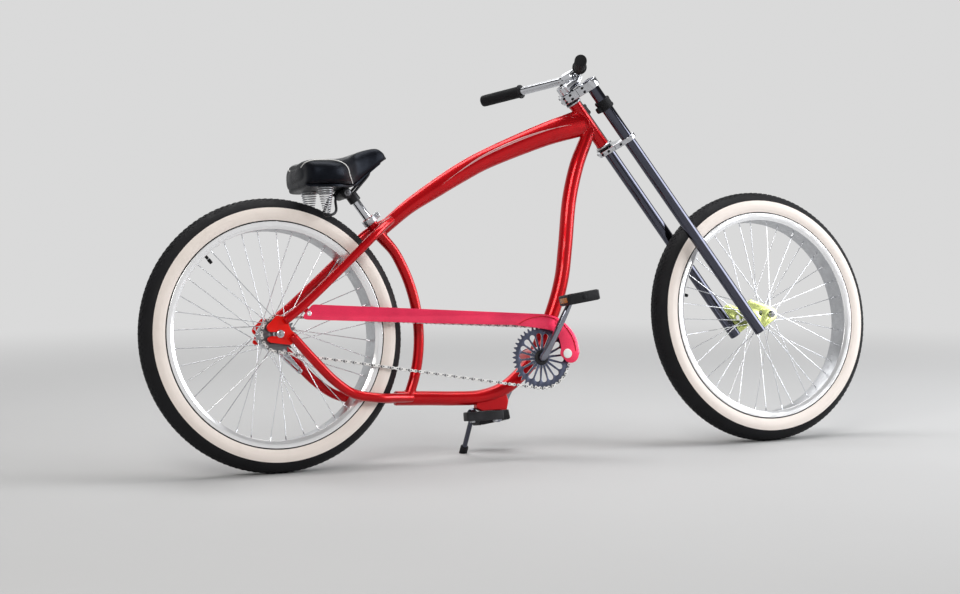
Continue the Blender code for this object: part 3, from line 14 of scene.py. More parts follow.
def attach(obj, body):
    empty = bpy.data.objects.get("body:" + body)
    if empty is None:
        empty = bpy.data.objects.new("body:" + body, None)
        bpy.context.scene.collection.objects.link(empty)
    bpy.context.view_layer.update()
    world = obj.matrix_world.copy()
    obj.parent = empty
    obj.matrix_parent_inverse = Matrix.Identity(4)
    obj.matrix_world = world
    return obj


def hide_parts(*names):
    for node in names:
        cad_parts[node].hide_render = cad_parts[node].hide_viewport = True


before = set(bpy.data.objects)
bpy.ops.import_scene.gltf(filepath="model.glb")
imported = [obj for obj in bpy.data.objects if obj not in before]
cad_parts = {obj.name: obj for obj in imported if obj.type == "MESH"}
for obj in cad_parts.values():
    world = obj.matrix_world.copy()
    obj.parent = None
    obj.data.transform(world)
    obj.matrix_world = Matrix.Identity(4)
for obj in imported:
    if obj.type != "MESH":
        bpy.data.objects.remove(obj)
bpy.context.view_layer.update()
print("frame loaded,", len(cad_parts), "nodes")

# Stance: how the leaning bicycle and its turned fork stand on the floor

stance = {
    "wheelbase": 1.434,
    "leanDegrees": 8.4,
    "steerDegrees": 3.0,
    "floorOffset": 0.146,
    "headDegrees": 55.0,
    "headCentre": (0.934, 0.884),
    "crankCentre": (0.727, 0.258),
    "crankDegrees": 63.9,
    "pedalPitchDegrees": 8.0,
    "tyreRadius": 0.3475,
    "axleAhead": 0.102,
    "axleDrop": 0.7274,
}


def shift(x, y, z):
    return Matrix.Translation((x, y, z))


def turn(degreesValue, axis):
    return Matrix.Rotation(radians(degreesValue), 4, axis)


tyreR = stance["tyreRadius"]
crankX, crankZ = stance["crankCentre"]
headX, headZ = stance["headCentre"]
bikePlace = shift(-stance["wheelbase"] / 2, -stance["floorOffset"], 0) @ turn(-stance["leanDegrees"], "X")
headPlace = bikePlace @ shift(headX, 0, headZ) @ turn(stance["headDegrees"] - 90, "Y")
forkPlace = headPlace @ turn(stance["steerDegrees"], "Z")
crankPlace = bikePlace @ shift(crankX, 0, crankZ) @ turn(-stance["crankDegrees"], "Y")
rearAxlePlace = bikePlace @ shift(0, 0, tyreR)
frontAxlePlace = forkPlace @ shift(stance["axleAhead"], 0, -stance["axleDrop"])
leftward = turn(-90, "X")    # local Z to the rider's left, for lathe work on an axle
rightward = turn(90, "X")
sideOn = rightward           # local X forward and Y up, for plates seen from the side
outTo = {-1: rightward, 1: leftward}
sideNames = {-1: "Right", 1: "Left"}
nodeSides = {-1: "_right", 1: "_left"}


# Shapes: one dictionary gathers points, faces, their finish and how far along the piece they lie


def newShape():
    return {"points": [], "faces": [], "finish": [], "run": []}


def placed(rings, place):
    matrix = np.array(place)
    return np.asarray(rings) @ matrix[:3, :3].T + matrix[:3, 3]


def lengthsAlong(rows):
    return np.concatenate([[0.0], np.cumsum(np.linalg.norm(np.diff(rows, axis=0), axis=1))])


def addRings(shape, rings, runs, along=False, capStart=True, capEnd=True, finish=0):
    # rings: rows of points; finish may be one number or one for each strip between two rings
    rings = np.asarray(rings, float)
    count, sides = rings.shape[:2]
    first = len(shape["points"])
    shape["points"].extend(rings.reshape(-1, 3).tolist())
    for i in range(count):
        for j in range(sides):
            angle = 2 * pi * j / sides
            shape["run"].append((runs[i], cos(angle), sin(angle)))
    for i in range(count if along else count - 1):
        low, high = first + i * sides, first + (i + 1) % count * sides
        for j in range(sides):
            k = (j + 1) % sides
            shape["faces"].append((low + j, low + k, high + k, high + j))
            shape["finish"].append(finish[i] if hasattr(finish, "__len__") else finish)
    for wanted, i in ((capStart, 0), (capEnd, count - 1)):
        if wanted and not along:
            ring = [first + i * sides + j for j in range(sides)]
            shape["faces"].append(tuple(reversed(ring)) if i == 0 else tuple(ring))
            shape["finish"].append(finish[min(i, count - 2)] if hasattr(finish, "__len__") else finish)


def smoothRun(points, steps):
    # curve through rows of numbers, the way a draughtsman's spline bends
    given = [np.array(p, float) for p in points]
    ends = [2 * given[0] - given[1], *given, 2 * given[-1] - given[-2]]
    path = []
    for i in range(len(given) - 1):
        a, b, c, d = ends[i:i + 4]
        for step in range(steps):
            t = step / steps
            bend = 2 * a - 5 * b + 4 * c - d
            path.append(0.5 * (2 * b + (c - a) * t + bend * t**2 + (3 * b - a - 3 * c + d) * t**3))
    path.append(given[-1])
    return np.array(path)


def rounded(corners, radius, steps, closed=True, leastDegrees=18):
    # rounds the corners of an outline or profile; a corner may carry its own radius as a third number
    rows = [tuple(c) for c in corners]
    made = []
    count = len(rows)
    for i, row in enumerate(rows):
        here = np.array(row[:2], float)
        size = row[2] if len(row) > 2 else radius
        if not closed and i in (0, count - 1):
            made.append(tuple(here))
            continue
        before = np.array(rows[i - 1][:2], float) - here
        after = np.array(rows[(i + 1) % count][:2], float) - here
        lengths = np.linalg.norm(before), np.linalg.norm(after)
        bend = degrees(acos(max(-1.0, min(1.0, -before @ after / (lengths[0] * lengths[1] + 1e-15)))))
        if size <= 0 or bend < leastDegrees:
            made.append(tuple(here))
            continue
        reach = min(size * tan(radians(bend) / 2), 0.45 * lengths[0], 0.45 * lengths[1])
        start = here + before / lengths[0] * reach
        end = here + after / lengths[1] * reach
        for step in range(steps + 1):
            t = step / steps
            made.append(tuple((1 - t)**2 * start + 2 * t * (1 - t) * here + t**2 * end))
    return made


def arc(centre, radius, start, end, count):
    # points on a circle, angles in degrees, both ends included
    turns = [radians(start + (end - start) * i / (count - 1)) for i in range(count)]
    return [(centre[0] + radius * cos(a), centre[1] + radius * sin(a)) for a in turns]


def circle(radius, count, centre=(0.0, 0.0)):
    return arc(centre, radius, 0, 360 * (count - 1) / count, count)


def addLathe(shape, profile, sides, place=None, closed=True, finish=0):
    # profile: (radius, height) turned about local Z; open profiles start and end on the axis
    rows = np.array([p[:2] for p in profile], float)
    turns = np.arange(sides) * 2 * pi / sides
    rings = np.stack([np.outer(rows[:, 0], np.cos(turns)), np.outer(rows[:, 0], np.sin(turns)),
                      np.repeat(rows[:, 1:2], sides, axis=1)], axis=2)
    if place:
        rings = placed(rings, place)
    addRings(shape, rings, lengthsAlong(rows), along=closed, capStart=False, capEnd=False, finish=finish)


def addTurned(shape, corners, edge, steps, sides, place, finish=0):
    # turned ring with rounded corners
    addLathe(shape, rounded(corners, edge, steps), sides, place, finish=finish)


def addSolid(shape, corners, edge, steps, sides, place, finish=0):
    # turned piece with rounded corners, solid down to its axis
    addLathe(shape, rounded(corners, edge, steps, closed=False), sides, place, False, finish)


def aim(start, end):
    # local Z from start to end
    way = Vector(end) - Vector(start)
    return Matrix.Translation(start) @ way.to_track_quat("Z", "Y").to_matrix().to_4x4()


def addRod(shape, start, end, radius, place, sides=32, edge=0.0006, finish=0):
    length = (Vector(end) - Vector(start)).length
    addSolid(shape, [(0, 0), (radius, 0), (radius, length), (0, length)], edge, 3, sides,
             place @ aim(start, end), finish)


def addNut(shape, place, acrossCorners, height, bore=0.0, finish=0):
    # hexagon nut with the curved edges that its turned chamfer leaves
    flat = acrossCorners * cos(pi / 6)
    sides = 48
    turns = [2 * pi * j / sides for j in range(sides)]
    rings, runs = [], []
    for level in (0.0, 0.06, 0.13, 0.22, 0.78, 0.87, 0.94, 1.0):
        least = flat * 0.965 + min(level, 1 - level) * height * 1.9
        ring = []
        for angle in turns:
            radius = min(flat / cos((angle % (pi / 3)) - pi / 6), least)
            ring.append((radius * cos(angle), radius * sin(angle), level * height))
        rings.append(ring)
        runs.append(level * height)
    if bore:
        for level in (1.0, 0.93, 0.0):
            size = bore * (1.12 if level == 1.0 else 1.0)
            rings.append([(size * cos(angle), size * sin(angle), level * height) for angle in turns])
            runs.append(height)
    addRings(shape, placed(rings, place), runs, along=bool(bore), finish=finish)


def sweepFrames(path, binormal):
    # points along a path, and the three directions that stand at each of them
    points = np.asarray(path, float)[:, :3]
    tangents = np.gradient(points, axis=0)
    tangents /= np.linalg.norm(tangents, axis=1)[:, None]
    normals = []
    if binormal is not None:
        side = np.array(binormal, float)
        for t in tangents:
            n = np.cross(side, t)
            normals.append(n / np.linalg.norm(n))
    else:
        start = np.cross(tangents[0], (0.0, 0.0, 1.0) if abs(tangents[0][2]) < 0.9 else (1.0, 0.0, 0.0))
        normal = start / np.linalg.norm(start)
        for t in tangents:
            normal = normal - t * (normal @ t)
            normal /= np.linalg.norm(normal)
            normals.append(normal)
    normals = np.array(normals)
    return points, tangents, normals, np.cross(tangents, normals)


def sweepRings(path, sides, binormal, edge=0.0):
    # path rows: x, y, z, radius along the normal, radius across it; edge rounds the two ends
    rows = np.asarray(path, float)
    if rows.shape[1] == 4:
        rows = np.column_stack([rows, rows[:, 3]])
    points, tangents, normals, sidesWays = sweepFrames(rows, binormal)
    turns = np.arange(sides) * 2 * pi / sides
    across, up = np.cos(turns), np.sin(turns)
    lengths = lengthsAlong(points)

    def ring(i, ahead=0.0, less=0.0):
        centre = points[i] + tangents[i] * ahead
        return (centre + np.outer(up * (rows[i, 3] - less), normals[i])
                + np.outer(across * (rows[i, 4] - less), sidesWays[i]))

    last = len(rows) - 1
    inside = [i for i in range(last + 1) if not edge or edge <= lengths[i] <= lengths[-1] - edge]
    rings = [ring(i) for i in inside]
    runs = [lengths[i] for i in inside]
    if edge:
        for step in range(5):
            a = pi / 2 * step / 4
            back, less = edge * (1 - sin(a)), edge * (1 - cos(a))
            rings.insert(0, ring(0, back, less))
            rings.append(ring(last, -back, less))
            runs.insert(0, back)
            runs.append(lengths[-1] - back)
    return np.array(rings), runs


def addSweep(shape, path, place, sides, binormal=None, edge=0.0, finish=0):
    rings, runs = sweepRings(path, sides, binormal, edge)
    addRings(shape, placed(rings, place), runs, finish=finish)


def plainMesh(holder):
    # what an object's outline or node tree comes to, as a mesh of its own; the object goes
    bpy.context.scene.collection.objects.link(holder)
    bpy.context.view_layer.update()
    mesh = bpy.data.meshes.new_from_object(holder.evaluated_get(bpy.context.evaluated_depsgraph_get()))
    holder.modifiers.clear()
    bpy.data.objects.remove(holder)
    return mesh


def addPlate(shape, outlines, thickness, place, edge, edgeSteps, finish=0, edgeFinish=None):
    # flat piece cut to the first outline, with the others as holes, its edges broken all round
    curve = bpy.data.curves.new("plateOutline", "CURVE")
    curve.dimensions = "2D"
    curve.fill_mode = "BOTH"
    curve.extrude = thickness / 2 - edge
    curve.bevel_depth = edge
    curve.bevel_resolution = edgeSteps
    curve.offset = -edge
    for outline in outlines:
        spline = curve.splines.new("POLY")
        spline.points.add(len(outline) - 1)
        spline.use_cyclic_u = True
        for point, at in zip(spline.points, outline):
            point.co = (at[0], at[1], 0.0, 1.0)
    mesh = plainMesh(bpy.data.objects.new("plateOutline", curve))
    first = len(shape["points"])
    for vertex in mesh.vertices:
        shape["points"].append(tuple(place @ vertex.co))
        shape["run"].append((vertex.co.x, 0.0, vertex.co.y))
    for face in mesh.polygons:
        onEdge = edgeFinish is not None and abs(face.normal.z) < 0.9
        shape["faces"].append(tuple(first + v for v in face.vertices))
        shape["finish"].append(edgeFinish if onEdge else finish)
    bpy.data.curves.remove(curve)
    bpy.data.meshes.remove(mesh)


def rectangle(x, y):
    return [(-x, -y), (x, -y), (x, y), (-x, y)]


def addBlock(shape, size, place, edge, finish=0):
    # block with rounded edges all round
    outline = rounded(rectangle(size[0] / 2, size[1] / 2), edge * 1.4, 3)
    addPlate(shape, [outline], size[2], place, edge, 2, finish)


def shapeMesh(name, shape):
    mesh = bpy.data.meshes.new(name)
    mesh.from_pydata(shape["points"], [], shape["faces"])
    mesh.polygons.foreach_set("material_index", shape["finish"])
    run = mesh.attributes.new("run", "FLOAT_VECTOR", "POINT")
    run.data.foreach_set("vector", np.array(shape["run"], np.float32).reshape(-1))
    work = bmesh.new()
    work.from_mesh(mesh)
    bmesh.ops.remove_doubles(work, verts=work.verts, dist=2e-6)
    bmesh.ops.dissolve_degenerate(work, edges=work.edges, dist=1e-6)
    bmesh.ops.recalc_face_normals(work, faces=work.faces)
    work.to_mesh(mesh)
    work.free()
    return mesh


def addPiece(name, mesh, body, nodes, finishes, smoothDegrees=38):
    if isinstance(mesh, dict):
        mesh = shapeMesh(name, mesh)
    mesh.name = name
    if not mesh.materials:
        for finish in finishes:
            mesh.materials.append(finish)
    mesh.shade_smooth()
    mesh.set_sharp_from_angle(angle=radians(smoothDegrees))
    piece = bpy.data.objects.new(name, mesh)
    bpy.context.scene.collection.objects.link(piece)
    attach(piece, body)
    if nodes:
        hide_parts(*nodes)
    return piece


def addSided(name, node, side, shape, body, finishes, smoothDegrees=38):
    # the right or the left one of a pair
    addPiece(name + sideNames[side], shape, body, [node + nodeSides[side]], finishes, smoothDegrees)


# Geometry Nodes: short words for building a tree and turning its result into a plain mesh


def newTree(name, inputs):
    tree = bpy.data.node_groups.new(name, "GeometryNodeTree")
    tree.interface.new_socket("Geometry", in_out="OUTPUT", socket_type="NodeSocketGeometry")
    kinds = {float: "Float", int: "Int", bpy.types.Material: "Material", bpy.types.Object: "Object"}
    tree.interface.new_socket("Points", in_out="INPUT", socket_type="NodeSocketGeometry")
    for label, value in inputs.items():
        tree.interface.new_socket(label, in_out="INPUT", socket_type="NodeSocket" + kinds[type(value)])
    tree.nodes.new("NodeGroupInput")
    tree.nodes.new("NodeGroupOutput")
    return tree


def inputOf(tree, label):
    return tree.nodes["Group Input"].outputs[label]


def addNode(tree, kind, links=None, **settings):
    node = tree.nodes.new(kind)
    for key, value in settings.items():
        setattr(node, key, value)
    for key, value in (links or {}).items():
        socket = node.inputs[key]
        if isinstance(value, bpy.types.NodeSocket):
            tree.links.new(value, socket)
        else:
            socket.default_value = value
    return node


def maths(tree, operation, a, b=0.0):
    return addNode(tree, "ShaderNodeMath", {0: a, 1: b}, operation=operation).outputs[0]


def times(tree, a, b):
    return maths(tree, "MULTIPLY", a, b)


def rowOf(tree, x, y, z):
    return addNode(tree, "ShaderNodeCombineXYZ", {0: x, 1: y, 2: z}).outputs[0]


def shapeOf(tree, label):
    return addNode(tree, "GeometryNodeObjectInfo", {"Object": inputOf(tree, label)}).outputs["Geometry"]


def facingOf(tree):
    # the way that each point of the holder mesh says its shape is to face
    return addNode(tree, "GeometryNodeInputNamedAttribute", {"Name": "facing"},
                   data_type="FLOAT_VECTOR").outputs[0]


def setOn(tree, points, shape, facing=(0.0, 0.0, 0.0), scale=(1.0, 1.0, 1.0)):
    return addNode(tree, "GeometryNodeInstanceOnPoints", {"Points": points, "Instance": shape,
                                                          "Rotation": facing, "Scale": scale}).outputs[0]


def endTree(tree, geometry, material):
    made = addNode(tree, "GeometryNodeRealizeInstances", {0: geometry})
    coloured = addNode(tree, "GeometryNodeSetMaterial", {"Geometry": made.outputs[0], "Material": material})
    tree.links.new(coloured.outputs[0], tree.nodes["Group Output"].inputs[0])


def grown(tree, values, place, points=((0.0, 0.0, 0.0),), facings=None):
    # runs the tree on a small holder mesh and returns the plain mesh
    holderMesh = bpy.data.meshes.new(tree.name)
    holderMesh.from_pydata([tuple(p) for p in points], [], [])
    if facings:
        facing = holderMesh.attributes.new("facing", "FLOAT_VECTOR", "POINT")
        facing.data.foreach_set("vector", np.array(facings, np.float32).reshape(-1))
    holder = bpy.data.objects.new(tree.name, holderMesh)
    modifier = holder.modifiers.new(tree.name, "NODES")
    modifier.node_group = tree
    sockets = {item.name: item.identifier for item in tree.interface.items_tree if item.in_out == "INPUT"}
    for label, value in values.items():
        modifier[sockets[label]] = value
    mesh = plainMesh(holder)
    bpy.data.meshes.remove(holderMesh)
    mesh.transform(place)
    return mesh


def helperObject(name, shape):
    # a shape that a tree repeats; removed once the trees have run
    made = bpy.data.objects.new(name, shapeMesh(name, shape))
    made.data.shade_smooth()
    bpy.context.scene.collection.objects.link(made)
    return made


# Finishes

paint = {
    "red": (0.50, 0.002, 0.006),
    "redMetal": 0.50,
    "guardRed": (0.92, 0.045, 0.120),
    "dropoutRed": (0.78, 0.008, 0.004),
    "stripe": (0.90, 0.62, 0.62),
    "stripeRun": (0.07, 0.62),
    "stripedLength": 0.78,
    "flakeSize": 1500.0,
    "flakeShare": 0.16,
}
metalTones = {
    "chrome": (0.60, 0.61, 0.64),
    # fork legs and kickstand leg: chrome whose tone is darkened as a painted reflection of dark surroundings
    "darkReflection": (0.082, 0.085, 0.110),
    "alloy": (0.93, 0.93, 0.94),
    # chain plates and chainring edges: near white with little metal, as a painted reflection of the pale
    # surroundings
    "chain": (0.94, 0.93, 0.91),
    "steel": (0.52, 0.53, 0.55),
    "ring": (0.10, 0.11, 0.16),
    # crank arms: chrome tone darkened as a painted reflection of dark surroundings
    "crank": (0.27, 0.28, 0.33),
    "spoke": (0.80, 0.81, 0.84),
    "dark": (0.16, 0.16, 0.17),
    "black": (0.018, 0.018, 0.020),
    "goldLime": (0.60, 0.66, 0.24),
}
softTones = {
    "tyre": (0.0065, 0.0065, 0.0075),
    "whitewall": (0.86, 0.775, 0.715),
    "grip": (0.007, 0.007, 0.008),
    "blackPlastic": (0.011, 0.011, 0.012),
    "whitePlastic": (0.80, 0.80, 0.78),
    "grime": (0.42, 0.35, 0.27),
    # darker vinyl for the grooves of the grain: painted shade
    "vinylGrooveShade": (0.003, 0.0033, 0.0045),
    "vinylHigh": (0.0085, 0.0092, 0.0125),
    "amberLow": (0.26, 0.07, 0.004),
    "amberHigh": (0.55, 0.19, 0.012),
}


def newFinish(name):
    material = bpy.data.materials.new(name)
    material.use_nodes = True
    return material, material.node_tree, material.node_tree.nodes["Principled BSDF"]


def settle(shader, **values):
    for label, value in values.items():
        socket = shader.inputs[label.replace("_", " ")]
        if isinstance(value, bpy.types.NodeSocket):
            shader.id_data.links.new(value, socket)
        else:
            socket.default_value = value


def objectCoords(tree, scale=(1, 1, 1)):
    coords = addNode(tree, "ShaderNodeTexCoord").outputs["Object"]
    return addNode(tree, "ShaderNodeMapping", {"Vector": coords, "Scale": scale}).outputs[0]


def runCoords(tree):
    return addNode(tree, "ShaderNodeAttribute", attribute_name="run").outputs["Vector"]


def noise(tree, coords, scale, detail, rough=0.55):
    return addNode(tree, "ShaderNodeTexNoise", {"Vector": coords, "Scale": scale, "Detail": detail,
                                                "Roughness": rough}).outputs[0]


def between(tree, value, low, high, fromLow=0.0, fromHigh=1.0):
    return addNode(tree, "ShaderNodeMapRange", {"Value": value, "From Min": fromLow, "From Max": fromHigh,
                                                "To Min": low, "To Max": high}).outputs[0]


def mixed(tree, share, a, b, how="MIX"):
    node = tree.nodes.new("ShaderNodeMix")
    node.data_type = "RGBA"
    node.blend_type = how
    node.clamp_factor = True
    for index, value in ((0, share), (6, a), (7, b)):
        if isinstance(value, bpy.types.NodeSocket):
            tree.links.new(value, node.inputs[index])
        else:
            node.inputs[index].default_value = (*value, 1.0) if hasattr(value, "__len__") else value
    return node.outputs[2]


def bumped(tree, height, distance, strength=1.0, after=None):
    links = {"Height": height, "Distance": distance, "Strength": strength}
    if after is not None:
        links["Normal"] = after
    return addNode(tree, "ShaderNodeBump", links).outputs[0]


def tinted(colour, share):
    return tuple(c * share for c in colour)


def enamel(name, colour, metal, flakes=True, stripes=None):
    # candy lacquer over a metallic ground: flakes, slight orange peel, a little dust in the coat
    material, tree, shader = newFinish(name)
    coords = objectCoords(tree)
    cloud = noise(tree, coords, 9.0, 4.0)
    tone = mixed(tree, between(tree, cloud, 0.0, 1.0, 0.3, 0.7), tinted(colour, 0.86), tinted(colour, 1.14))
    if flakes:
        cells = addNode(tree, "ShaderNodeTexVoronoi", {"Vector": coords, "Scale": paint["flakeSize"]})
        spark = between(tree, cells.outputs["Color"], 1.0 - paint["flakeShare"], 1.0 + paint["flakeShare"])
        tone = mixed(tree, 1.0, tone, spark, "MULTIPLY")
    if stripes:
        tone = mixed(tree, stripes(tree), tone, paint["stripe"])
    peel, dust = noise(tree, coords, 260.0, 2.0), noise(tree, coords, 34.0, 5.0)
    settle(shader, Base_Color=tone, Roughness=between(tree, dust, 0.24, 0.40),
           Normal=bumped(tree, peel, 0.00003), Metallic=metal, Specular_IOR_Level=0.1,
           Coat_Weight=0.6, Coat_Roughness=0.03, Coat_IOR=1.36)
    return material


def plated(name, tone, low, high, bump=0.00001, metal=1.0):
    # bright metal: smudges and fine wipe marks live in the roughness
    material, tree, shader = newFinish(name)
    coords = objectCoords(tree)
    smudge = noise(tree, coords, 60.0, 5.0, 0.6)
    fine = noise(tree, objectCoords(tree, (1, 1, 6)), 540.0, 2.0)
    both = maths(tree, "ADD", times(tree, smudge, 0.75), times(tree, fine, 0.25))
    shade = mixed(tree, between(tree, smudge, 0.0, 1.0, 0.4, 0.75), tone, tinted(tone, 0.88))
    settle(shader, Base_Color=shade, Roughness=between(tree, both, low, high, 0.35, 0.68),
           Normal=bumped(tree, both, bump), Metallic=metal)
    return material


def ringNoise(tree, scale, detail):
    run = addNode(tree, "ShaderNodeSeparateXYZ", {0: runCoords(tree)}).outputs[0]
    return addNode(tree, "ShaderNodeTexNoise", {"W": times(tree, run, scale), "Scale": 1.0, "Detail": detail},
                   noise_dimensions="1D").outputs[0]


def ringPolished(name, tone, low, high):
    # turned metal: fine rings follow the profile of the piece
    material, tree, shader = newFinish(name)
    ring = ringNoise(tree, 900.0, 3.0)
    smudge = noise(tree, objectCoords(tree), 22.0, 4.0)
    # the grooves of the fine rings are painted 7 per cent darker as shade, their crowns in the full tone
    shade = mixed(tree, between(tree, ring, 0.0, 1.0, 0.35, 0.65), tinted(tone, 0.93), tone)
    settle(shader, Base_Color=shade, Roughness=between(tree, smudge, low, high, 0.35, 0.7),
           Normal=bumped(tree, ring, 0.000015), Metallic=0.6)
    return material


def moulded(name, tone, low, high, grain, depth, speck=1.25):
    # rubber or plastic: matt mottling with a fine moulded skin
    material, tree, shader = newFinish(name)
    coords = objectCoords(tree)
    broad = noise(tree, coords, 26.0, 5.0)
    skin = noise(tree, coords, grain, 3.0, 0.7)
    shade = mixed(tree, between(tree, broad, 0.0, 1.0, 0.35, 0.7), tone, tinted(tone, speck * 1.6))
    settle(shader, Base_Color=shade, Roughness=between(tree, broad, low, high, 0.35, 0.65),
           Normal=bumped(tree, skin, depth), Specular_IOR_Level=0.16)
    return material


def whitewallFinish():
    # cream sidewall: faint moulded rings, small scuffs and a little road grime
    material, tree, shader = newFinish("creamSidewall")
    coords = objectCoords(tree)
    ring = ringNoise(tree, 420.0, 2.0)
    grime = noise(tree, coords, 14.0, 6.0, 0.65)
    dots = noise(tree, coords, 190.0, 3.0)
    both = times(tree, between(tree, grime, 0.0, 1.0, 0.5, 0.85), between(tree, dots, 0.3, 1.0))
    cream = softTones["whitewall"]
    clean = mixed(tree, between(tree, ring, 0.0, 1.0, 0.3, 0.7), cream, tinted(cream, 0.965))
    settle(shader, Base_Color=mixed(tree, times(tree, both, 0.34), clean, softTones["grime"]),
           Roughness=between(tree, dots, 0.42, 0.62),
           Normal=bumped(tree, ring, 0.00008, 1.0, bumped(tree, dots, 0.00004)))
    return material


def leatherette():
    # black vinyl: pebbled grain with fine creases and a soft polish in patches
    material, tree, shader = newFinish("saddleVinyl")
    coords = objectCoords(tree)
    cells = addNode(tree, "ShaderNodeTexVoronoi", {"Vector": coords, "Scale": 620.0},
                    feature="DISTANCE_TO_EDGE")
    pebbleHeightAndShade = between(tree, cells.outputs[0], 0.0, 1.0, 0.0, 0.28)
    crease = noise(tree, objectCoords(tree, (1, 2.2, 1)), 90.0, 5.0, 0.7)
    worn = noise(tree, coords, 16.0, 4.0)
    # the grooves between the pebbles are painted darker as shade, the pebble crowns in the lighter vinyl tone
    shade = mixed(tree, between(tree, pebbleHeightAndShade, 0.0, 1.0), softTones["vinylGrooveShade"], softTones["vinylHigh"])
    settle(shader, Base_Color=shade, Roughness=between(tree, worn, 0.27, 0.46, 0.35, 0.68),
           Normal=bumped(tree, pebbleHeightAndShade, 0.00008, 0.6, bumped(tree, crease, 0.0001, 0.5)),
           Specular_IOR_Level=0.10, Specular_Tint=(0.6, 0.72, 1.0, 1.0))
    return material


def reflectorAmber():
    # prismatic reflector: small cube cells under clear amber plastic
    material, tree, shader = newFinish("amberReflector")
    cells = addNode(tree, "ShaderNodeTexVoronoi", {"Vector": objectCoords(tree), "Scale": 420.0})
    share, away = between(tree, cells.outputs["Color"], 0.0, 1.0), cells.outputs["Distance"]
    settle(shader, Base_Color=mixed(tree, share, softTones["amberLow"], softTones["amberHigh"]),
           Roughness=between(tree, away, 0.08, 0.2), Normal=bumped(tree, away, 0.0004),
           Specular_IOR_Level=0.3, Coat_Weight=0.3, Coat_Roughness=0.05)
    return material


def taperedStripes(tree):
    # two tapered pin lines that run along the flanks of the top tube and meet at their tips
    start, end = paint["stripeRun"]
    parts = addNode(tree, "ShaderNodeSeparateXYZ", {0: runCoords(tree)})
    along = maths(tree, "DIVIDE", parts.outputs[0], paint["stripedLength"])
    height = parts.outputs[2]
    shown = times(tree, maths(tree, "GREATER_THAN", along, start), maths(tree, "LESS_THAN", along, end))
    swing = maths(tree, "SINE", times(tree, maths(tree, "SUBTRACT", along, start), pi / (end - start)))
    lines = None
    for offset, rise in ((0.10, 0.30), (0.02, 0.52)):
        middle = maths(tree, "ADD", times(tree, swing, rise), offset)
        away = maths(tree, "ABSOLUTE", maths(tree, "SUBTRACT", height, middle))
        line = maths(tree, "LESS_THAN", away, times(tree, swing, 0.045))
        lines = line if lines is None else maths(tree, "MAXIMUM", lines, line)
    return times(tree, times(tree, lines, shown), 0.8)


candyRed = enamel("candyRed", paint["red"], paint["redMetal"])
stripedRed = enamel("stripedRed", paint["red"], paint["redMetal"], stripes=taperedStripes)
guardRed = enamel("guardRed", paint["guardRed"], 0.35)
dropoutRed = enamel("dropoutRed", paint["dropoutRed"], 0.25, flakes=False)
chrome = plated("chromePlate", metalTones["chrome"], 0.035, 0.13)
# chrome darkened as a painted reflection of dark surroundings, for the fork legs and the kickstand leg
smokedChrome = plated("smokedChrome", metalTones["darkReflection"], 0.03, 0.09)
alloy = ringPolished("polishedAlloy", metalTones["alloy"], 0.12, 0.24)
steel = plated("zincSteel", metalTones["steel"], 0.26, 0.44, 0.00003)
# near-white chain finish with little metal: a painted reflection of the pale surroundings
chainPlate = plated("chainPlate", metalTones["chain"], 0.18, 0.34, 0.00002, metal=0.15)
# crank chrome darkened as a painted reflection of dark surroundings
crankChrome = plated("crankChrome", metalTones["crank"], 0.03, 0.09)
spokeSteel = plated("spokeSteel", metalTones["spoke"], 0.14, 0.26)
blackMetal = moulded("blackPowderCoat", metalTones["black"], 0.30, 0.46, 700.0, 0.00003, 1.1)
darkSteel = plated("darkSteel", metalTones["dark"], 0.30, 0.46, 0.00003)
ringSteel = plated("ringSteel", metalTones["ring"], 0.26, 0.42, 0.00003)
goldLime = plated("goldLimePlate", metalTones["goldLime"], 0.16, 0.32, 0.00001)
tyreBlack = moulded("tyreRubber", softTones["tyre"], 0.52, 0.78, 520.0, 0.0001)
gripBlack = moulded("gripRubber", softTones["grip"], 0.50, 0.70, 640.0, 0.00008)
blackPlastic = moulded("blackPlastic", softTones["blackPlastic"], 0.30, 0.46, 520.0, 0.00005)
whitePlastic = moulded("whitePlastic", softTones["whitePlastic"], 0.28, 0.42, 300.0, 0.00002, 0.6)
whitewall = whitewallFinish()
vinyl = leatherette()
amber = reflectorAmber()
print("finishes mixed")


# Frame tubes, all in the bicycle's frame

tubes = {
    "bowRadius": 0.400,
    "seatDegrees": 55.0,
    "stubTop": (0.2765, 0.6395),
    "headLength": 0.136,
    "headRadius": 0.0165,
    "shellRadius": 0.027,
    "shellWidth": 0.070,
    "beadRadius": 0.0021,
    "beadStep": 0.0026,
}


def onBow(turnDegrees, outward):
    reach = tubes["bowRadius"] + outward
    return (reach * cos(radians(turnDegrees)), tyreR + reach * sin(radians(turnDegrees)))


def bowed(start, end, run):
    # share of the way from start to end, bow to the left of it, then the sizes there
    a, b = np.array(start, float), np.array(end, float)
    way = b - a
    across = np.array((-way[1], way[0])) / np.linalg.norm(way)
    rows = []
    for share, bow, *sizes in run:
        spot = a + way * share + across * bow
        rows.append((spot[0], 0.0, spot[1], *sizes))
    return rows


